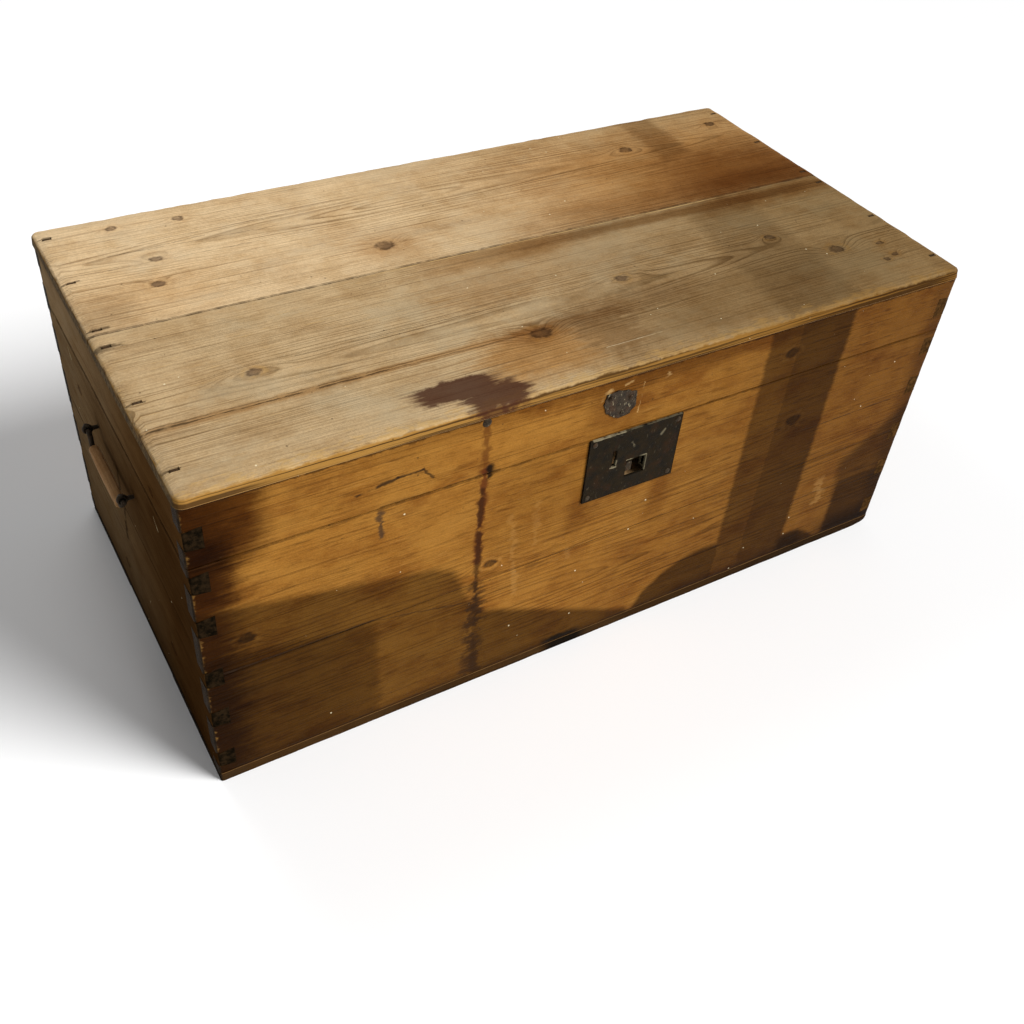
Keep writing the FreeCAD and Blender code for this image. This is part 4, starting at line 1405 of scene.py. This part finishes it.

# %% [markdown]
# ## The front's finish
# The front kept its old varnish, so it is honey coloured and warmer than the top.
# A large nail under the nosing has wept rust down to the floor. Painted shadows of things that stood near the
# chest darken most of the lower half, as a large patch, bands and arcs.

# %% Finish the front
front_tones = ((151, 104, 43), (96, 60, 20), (178, 132, 68), (176, 138, 96), (134, 98, 48))
umber, rust, black_rust = (190, 168, 140), (82, 38, 16), (36, 21, 11)
corner_dirt, chip = (140, 122, 104), (192, 156, 100)
lid_seam = (rim + lid_low) / 2
# The first tone here deepens the painted shadows near the right foot.
deep_shadow_tone, scuff_tone = (136, 126, 98), (190, 146, 84)
front_finish = pine_finish(
    "pine_front", "xzy", (120, 118, -212), 0.00009, 3.6, front_tones, (-237.0, -240.5), half_x,
    knots=[(223, 355, 7, 4), (256, 250, 8, 4), (-422, 208, 7, 3), (-152, 190, 6, 4)],
    # These polygons are painted shadows cast by things near the chest: a large patch at the lower left,
    # upright bands and arcs at the foot.
    painted_shadows=[
        ([(-490, 266), (-222, 212), (-196, 199), (-177, 152), (-166, 118), (-166, -20),
          (-490, -20)], 7, 6, 0.8),
        ([(-490, 212), (-276, 172), (-270, -20), (-490, -20)], 18, 14, 1.0),
        ([(-172, 128), (52, 20), (76, -20), (-172, -20)], 6, 5, 0.95),
        ([(186, 430), (309, 430), (301, -20), (184, -20)], 4, 4, 0.8),
        ([(228, 430), (309, 430), (301, -20), (226, -20)], 4, 4, 0.94),
        ([(62, 15), (75, 38), (100, 60), (130, 74), (160, 79), (190, 76), (190, -20), (55, -20)], 5, 4, 1.0),
        ([(296, 44), (330, 41), (352, 28), (372, 8), (378, -20), (296, -20)], 4, 4, 1.0),
        ([(378, 110), (490, 108), (490, -20), (378, -20)], 5, 5, 1.0),
        ([(368, 142), (490, 232), (490, 80), (378, 80)], 10, 10, 0.75),
    ],
    painted_shadow_tone=(142, 138, 124), spills=[(-42, 13, 25, 10, 0, 0.35, 10, 0.95)], spill_tone=(12, 8, 5),
    heart_tone=(50, 33, 16),
    stains=[
        (0, 8, 520, 16, 0, 0.6, 14, (160, 142, 122), 0.5), (-462, 170, 34, 260, 0, 0.7, 26, corner_dirt, 1.0),
        (-440, 370, 46, 56, 0, 0.35, 14, corner_dirt, 1.0), (-452, 300, 26, 40, 0, 0.5, 16, corner_dirt, 0.9),
        (-45, 222, 12, 28, 0, 0.7, 10, umber, 0.6), (66, 212, 13, 34, 0, 0.7, 10, umber, 0.6),
        (-12, 356, 34, 26, 0, 0.5, 16, (170, 142, 116), 0.5),
        (462, 190, 20, 230, 0, 0.7, 14, corner_dirt, 0.55),
        # The first stain on the next line deepens the painted shadow at the lower left.
        (-420, 90, 90, 130, 0, 0.8, 30, (176, 170, 160), 0.5), (30, 100, 150, 70, 0, 0.8, 40, umber, 0.25),
        (-85, 262, 70, 56, 0, 0.8, 30, (226, 221, 212), 0.9),
        # The next two stains darken the rail just under the nosing.
        (-10, 389, 250, 11, 0, 0.8, 10, (204, 194, 182), 0.9),
        (60, 384, 90, 14, 0, 0.8, 14, (206, 194, 180), 0.8),
        # These two deepen the painted shadows near the right foot.
        (318, 22, 22, 18, 0, 0.5, 8, deep_shadow_tone, 0.8), (425, 14, 55, 28, 0, 0.7, 12, deep_shadow_tone, 0.9),
    ],
    cracks=[
        (-168.7, 388, -167, 322, 7.5, 1.5, (86, 46, 16), 0.7), (-167, 324, -169, 200, 7.0, 1.5, rust, 0.85),
        (-169, 300, -168, 130, 5.5, 2, black_rust, 0.7), (-168, 160, -166, 22, 12.0, 9, black_rust, 0.7),
        (-168, 120, -168, 30, 18.0, 16, (46, 28, 14), 0.6), (-162, 328, -162, 317, 6.0, 2, (18, 12, 8), 0.95),
        (-304, 345, -262, 352, 2.6, 4, line, 0.9), (-262, 352, -236, 352, 2.4, 3, line, 0.85),
        (-236, 352, -224, 338, 2.0, 3, line, 0.8), (-281, 314, -279, 284, 4.5, 6, (56, 42, 32), 0.8),
        (-454, 169, -291, 167, 1.6, 4, line, 0.7), (-291, 167, -175, 140, 1.6, 6, line, 0.5),
        (270, 226, 440, 228, 1.4, 4, line, 0.6), (300, 104, 460, 102, 1.4, 5, line, 0.6),
        (-160, 300, 20, 298, 1.0, 5, line, 0.35), (80, 140, 260, 138, 1.0, 5, line, 0.4),
        (15, 340, 17, 378, 0.9, 2, chip, 0.5), (-37, 371, -25, 380, 3.6, 8, chip, 0.5),
        (-8, 381, 2, 384, 2.6, 8, chip, 0.4), (44, 374, 48, 379, 3.0, 8, chip, 0.45),
        (-280, 321, -150, 321, 1.8, 2, (26, 16, 10), 0.6),
        # The first line below is a painted shadow under the nosing; the second is the dark joint above the
        # bottom boards.
        (-468, 390.5, 468, 390.5, 3.4, 2, (44, 26, 12), 0.75), (-468, 15, 468, 14, 3.0, 4, (38, 24, 12), 0.6),
        (-468, 318.6, 468, 318.6, 1.5, 2, (60, 36, 16), 0.5),
        (-129, 250, -122, 164, 6.0, 8, scuff_tone, 0.12), (-119, 160, -117, 128, 7.0, 8, scuff_tone, 0.15),
        (-99, 255, -96, 197, 5.0, 8, scuff_tone, 0.1), (-51, 168, -50, 150, 6.0, 8, scuff_tone, 0.12),
        (344, 118, 352, 84, 12.0, 14, scuff_tone, 0.2),
    ],
    seams=((side_joint, (230, -40)), (lid_seam, (-310, 70))),
    wear=[((-468, -242, -500), (468, 600, 900), 3.0, 0.3)], drift=(-150, 420, (186, 178, 170)),
    ring_share=0.7, dust=0.15, dirty=0.6, specks=0.5, fleck=0.25, open_grain=0.35, rough=0.5,
    end_tones=((30, 21, 12), (56, 40, 23)),
)


def dress_wall(name, finish):
    """Give one finish to the three boards of a wall."""
    for piece_name in (f"{name}_plank_low", f"{name}_plank_high", f"lid_{name}_plank"):
        finishes[piece_name] = finish


dress_wall("front", front_finish)

# %% [markdown]
# ## Ends and back
# The ends are darker and duller. Below its handle the left end has a dark streak,
# and that end darkens towards the front: painted light that reaches it from the rear and falls off to the
# front.
# The back never saw much light or polish, so it gets the plainest version.

# %% Finish the ends
left_tones_with_painted_light = ((141, 117, 86), (98, 78, 53), (152, 126, 90), (196, 172, 144), (132, 114, 90))
right_tones = ((85, 60, 33), (56, 39, 21), (110, 83, 47), (184, 156, 124), (87, 71, 49))
seam_line, streak_tone, nick = (40, 26, 14), (30, 20, 12), (186, 168, 130)
end_stains = [
    (-200, 160, 60, 260, 0, 0.7, 40, umber, 0.5), (0, 10, 300, 40, 0, 0.7, 30, umber, 0.4),
    (0, 250, 90, 40, 0, 0.8, 30, umber, 0.5),
]
end_cracks = [
    (-200, 195.5, 240, 195.5, 1.4, 4, line, 0.6), (-60, 120, 150, 124, 1.2, 6, line, 0.5),
    (-242, 318, 242, 318, 2.0, 2, seam_line, 0.6), (150, 296, 158, 306, 2.0, 3, nick, 0.7),
    (-150, 290, -140, 300, 1.6, 3, nick, 0.6),
]
left_stains = [
    (0, 150, 330, 169, 0, 0.06, 6, (190, 184, 176), 0.6), (0, 30, 330, 70, 0, 0.8, 20, (190, 182, 172), 0.2),
]
left_dark_streak = [(0, 214, 26, 130, 5.0, 7, streak_tone, 0.75), (4, 250, 12, 200, 6.0, 6, streak_tone, 0.6)]


def end_finish(name, pith, tones, skin, end_tones, stains=(), cracks=(), drift=None):
    """One finish for the three boards of an end."""
    return pine_finish(
        f"pine_{name}_end", "yzx", pith, 0.0003, 3.8, tones, skin, half_y,
        knots=[(-120, 90, 7, 4), (140, 260, 6, 4), (60, 60, 6, 3), (-150, 340, 5, 3)],
        stains=[*end_stains, *stains], cracks=[*cracks, *end_cracks], drift=drift,
        seams=((end_joint, (260, -50)), (lid_seam, (-280, 60))),
        wear=[((-468, -242, 0), (468, 242, 392), 3.0, 0.35)],
        ring_share=0.6, dust=0.3, specks=0.34, rough=0.7, gloss=0.0, end_tones=end_tones,
    )


# The left end's lighter tones and its drift towards the front are painted light from the rear.
left_finish = end_finish(
    "left", (60, 150, -440), left_tones_with_painted_light, (-463.0, -466.5), ((12, 9, 5), (40, 29, 17)),
    stains=left_stains, cracks=left_dark_streak, drift=(190, -150, (166, 147, 122)),
)
right_ends = ((48, 32, 16), (84, 58, 30))
right_finish = end_finish("right", (-90, 210, 438), right_tones, (463.0, 466.5), right_ends)
dress_wall("left", left_finish)
dress_wall("right", right_finish)

# %% Finish the back
back_tones = ((150, 108, 60), (100, 68, 34), (176, 138, 86), (164, 128, 90), (140, 116, 84))
hinge_rust = (170, 124, 88)
back_finish = pine_finish(
    "pine_back", "xzy", (-140, 180, 210), 0.00012, 4.0, back_tones, (237.0, 240.5), half_x,
    knots=[(-230, 120, 8, 4), (90, 250, 7, 4), (330, 90, 7, 4), (-60, 355, 6, 3)],
    stains=[(-200, 40, 300, 70, 4, 0.6, 40, umber, 0.55), (280, 60, 220, 90, -6, 0.6, 40, umber, 0.5),
            (-300, 290, 30, 60, 0, 0.8, 30, hinge_rust, 0.5),
            (300, 286, 30, 70, 0, 0.8, 30, hinge_rust, 0.5)],
    cracks=[(-400, 167.5, 300, 166.5, 1.5, 4, line, 0.6), (40, 90, 330, 84, 1.3, 6, line, 0.5)],
    seams=((side_joint, (210, -60)), (lid_seam, (-260, 80))),
    wear=[((-468, -600, 0), (468, 242, 392), 3.0, 0.3)], ring_share=0.55, rough=0.66,
)
dress_wall("back", back_finish)

# %% [markdown]
# ## Bottom, till and grips
# The same recipe serves the hidden boards and the small pieces, with darker or cleaner tones.
# For till and grips the limits of skin and ends lie far off, so that they are weathered all over.

# %% Finish the small wood
bottom_tones = ((62, 41, 18), (42, 28, 12), (76, 54, 27), (150, 118, 84), (43, 33, 21))
till_tones = ((194, 152, 98), (146, 106, 60), (206, 172, 120), (184, 150, 106), (176, 146, 104))
grip_tones = ((164, 126, 86), (118, 86, 54), (180, 146, 104), (186, 158, 124), (146, 120, 90))
all_skin, no_ends = (-1000.0, -999.0), 400.0
bottom_finish = pine_finish(
    "pine_bottom", "xyz", (60, 0, -40), 0.0002, 4.4, bottom_tones, (13.0, 12.96), half_x,
    drift=(-150, 420, (178, 174, 170)), spills=[(-36, -242, 28, 20, 0, 0.4, 10, 0.95)], spill_tone=(12, 8, 5),
    ring_share=0.5, specks=0.1, rough=0.7,
)
till_finish = pine_finish(
    "pine_till", "yxz", (40, -380, 240), 0.0003, 3.6, till_tones, all_skin, no_ends,
    knots=[(-90, -360, 5, 4)], ring_share=0.5, dust=0.2, specks=0.1, rough=0.6,
)
grip_finish = pine_finish(
    "grip_wood", "yzx", (0, 247, -470), 0.0006, 2.2, grip_tones, all_skin, no_ends,
    ring_share=0.6, dust=0.2, specks=0.0, rough=0.5, wander=10.0,
)
for name in ("front", "middle", "rear"):
    finishes[f"bottom_plank_{name}"] = bottom_finish
for name in ("front", "floor", "lid"):
    finishes[f"till_{name}_board"] = till_finish
for name in ("left", "right"):
    finishes[f"{name}_grip"] = grip_finish

# %% [markdown]
# ## Old iron
# Old iron is a dark skin of scale with rusty clouds, small pits, and brighter metal where it is rubbed; on
# the torn hasp the bright flecks are also painted glints.
# One group gives the patterns; each iron chooses how rusty, how dark and how shiny it is.

# %% Node group: iron skin
net, enter, leave = start_group("iron_skin", {"Place": "v", "Scale": "f"}, ("Cloud", "Rust", "Pits", "Rub"))
rust_place = net.vector("ADD", enter["Place"], (31, 17, 5))
slanted = net.vector("MULTIPLY", enter["Place"], (1.0, 1.0, 0.4))
for label, place, scale, detail, rough, low, high in (
    ("Cloud", enter["Place"], 0.10, 6.0, 0.6, 0.3, 0.7),
    ("Rust", rust_place, 0.06, 7.0, 0.68, 0.5, 0.68),
    ("Pits", enter["Place"], 0.9, 3.0, 0.6, 0.56, 0.68),
    ("Rub", slanted, 0.32, 4.0, 0.6, 0.60, 0.70),
):
    pattern = net.noise(place, net.times(enter["Scale"], scale), detail, rough)[0]
    net.put(leave[label], net.fade(pattern, low, high))
print("iron_skin has", len(net.tree.nodes), "nodes")

# %% The iron recipe
def scratch_marks(net, place, scratches):
    """Masks of bright lines on the front; a scratch is two ends along x and z, a width and a share."""
    x, y, z = net.split(place)
    flat = net.join(x, z)
    ragged = net.vector("SUBTRACT", net.noise(flat, 0.12, 5.0, 0.6)[1], (0.5, 0.5, 0.5))
    for start_x, start_z, end_x, end_z, width, share in scratches:
        scratch = net.group("crack", {
            "Board": flat, "Ragged": ragged, "Start": (start_x, start_z, 0), "End": (end_x, end_z, 0),
            "Width": width, "Wobble": 2.0,
        })
        yield net.times(scratch["Mask"], share)


def iron_finish(
    name, dark, light, rust_tone, rusty,
    scale=1.0, rub_and_glint=0.3, rough=0.55, metal=0.3, gloss=0.3, bumpy=0.6, scratches=(),
):
    """A dark iron material."""
    material, sockets = start_material(name)
    net = Wiring(material.node_tree)
    place = net.scale(net.node("ShaderNodeTexCoord").outputs["Object"], 1 / mm)
    skin = net.group("iron_skin", {"Place": place, "Scale": scale})
    colour = net.mix(skin["Cloud"], paint(*dark), paint(*light))
    colour = net.mix(net.times(skin["Rust"], rusty), colour, paint(*rust_tone))
    colour = net.mix(net.times(skin["Pits"], 0.5), colour, paint(10, 8, 6))
    bright = net.times(skin["Rub"], rub_and_glint)
    for mark in scratch_marks(net, place, scratches) if scratches else ():
        bright = net.most(bright, mark)
    net.put(sockets["Base Color"], net.mix(bright, colour, paint(168, 156, 124)))
    shine = net.fade(skin["Cloud"], 0.0, 1.0, rough - 0.08, rough + 0.16)
    net.put(sockets["Roughness"], net.minus(shine, net.times(bright, 0.2)))
    sockets["Metallic"].default_value = metal
    sockets["Specular IOR Level"].default_value = gloss
    sockets["Specular Tint"].default_value = paint(255, 222, 180)
    relief = net.minus(net.times(skin["Cloud"], 0.5), net.times(skin["Pits"], 0.6))
    net.put(sockets["Normal"], net.bump(relief, bumpy, 0.0006))
    print(f"{name}: {len(material.node_tree.nodes)} nodes")
    return material


print("iron recipe ready")

# %% Finish the iron
lock_iron = iron_finish(
    "lock_iron", (17, 14, 9), (35, 28, 18), (48, 29, 15), 0.5, rub_and_glint=0.07, rough=0.6, metal=0.0, gloss=0.05,
    # The first two scratches run along the plate's top edge: rubbed metal, and partly a painted highlight.
    scratches=[(-38, 319.4, 2, 319.2, 1.6, 0.55), (2, 319.6, 76, 319.6, 0.8, 0.2),
               (10, 277.4, 36, 277.4, 1.3, 0.45), (36.4, 256, 36.4, 277, 1.2, 0.25),
               (-11, 273.4, -4, 273.4, 1.3, 0.45), (-4.2, 276, -4.2, 282, 1.0, 0.3),
               (14, 301, 18, 294, 2.0, 0.3), (52, 300, 56, 305, 2.0, 0.25)],
)
case_iron = iron_finish(
    "case_iron", (112, 86, 56), (158, 128, 90), (136, 90, 50), 0.7, scale=1.6, rub_and_glint=0.1, metal=0.0, gloss=0.05
)
# The torn hasp's strong rub gives bright flecks: rubbed metal and painted glints.
torn_iron = iron_finish(
    "torn_iron", (18, 14, 10), (58, 50, 40), (62, 38, 22), 0.6,
    scale=1.2, rub_and_glint=0.8, rough=0.4, metal=0.2, gloss=0.2, bumpy=1.0,
)
nail_iron = iron_finish(
    "nail_iron", (28, 23, 17), (62, 53, 42), (70, 44, 26), 0.5, scale=2.0, rub_and_glint=0.4, rough=0.45, gloss=0.2
)
top_nail_iron = iron_finish(
    "top_nail_iron", (44, 31, 20), (76, 58, 40), (72, 46, 26), 0.6, scale=2.0, rub_and_glint=0.2, gloss=0.1
)
handle_iron = iron_finish("handle_iron", (26, 22, 18), (46, 39, 32), (70, 42, 26), 0.4, scale=1.6, rub_and_glint=0.2)
hinge_iron = iron_finish("hinge_iron", (42, 35, 28), (70, 60, 47), (96, 56, 32), 0.5, scale=1.4, rub_and_glint=0.3)
finishes.update({
    "lock_face_plate": lock_iron, "torn_hasp_plate": torn_iron, "lock_nail_heads": nail_iron,
    "torn_nail_heads": torn_iron, "large_nail_head": nail_iron, "top_nail_heads": top_nail_iron,
})
for name in ("left", "right"):
    finishes[f"{name}_bail"] = finishes[f"{name}_eyes"] = handle_iron

# %% [markdown]
# ## Give every piece its finish
# New pieces take a material from the list. The CAD pieces whose shape is right already, such as the hinges,
# the screws and the works of the lock, keep their meshes and only change material.

# %% Assign the finishes
for piece in made.values():
    piece.data.materials.clear()
    piece.data.materials.append(finishes[piece.name])
cad_finish = {
    "lock_case": case_iron, "bolt_guides": lock_iron, "lock_bolt": nail_iron, "bolt_spring": nail_iron,
    "bottom_nails": nail_iron, "body_leaf_screws": nail_iron, "lid_leaf_screws": nail_iron,
}
for side in ("left", "right"):
    for part in ("body_leaf", "lid_leaf", "pin"):
        cad_finish[f"{side}_hinge_{part}"] = hinge_iron
for node, finish in cad_finish.items():
    for material_slot in bpy.data.objects[node].material_slots:
        material_slot.material = finish
print(len(made), "new pieces and", len(cad_finish), "CAD pieces have finishes")
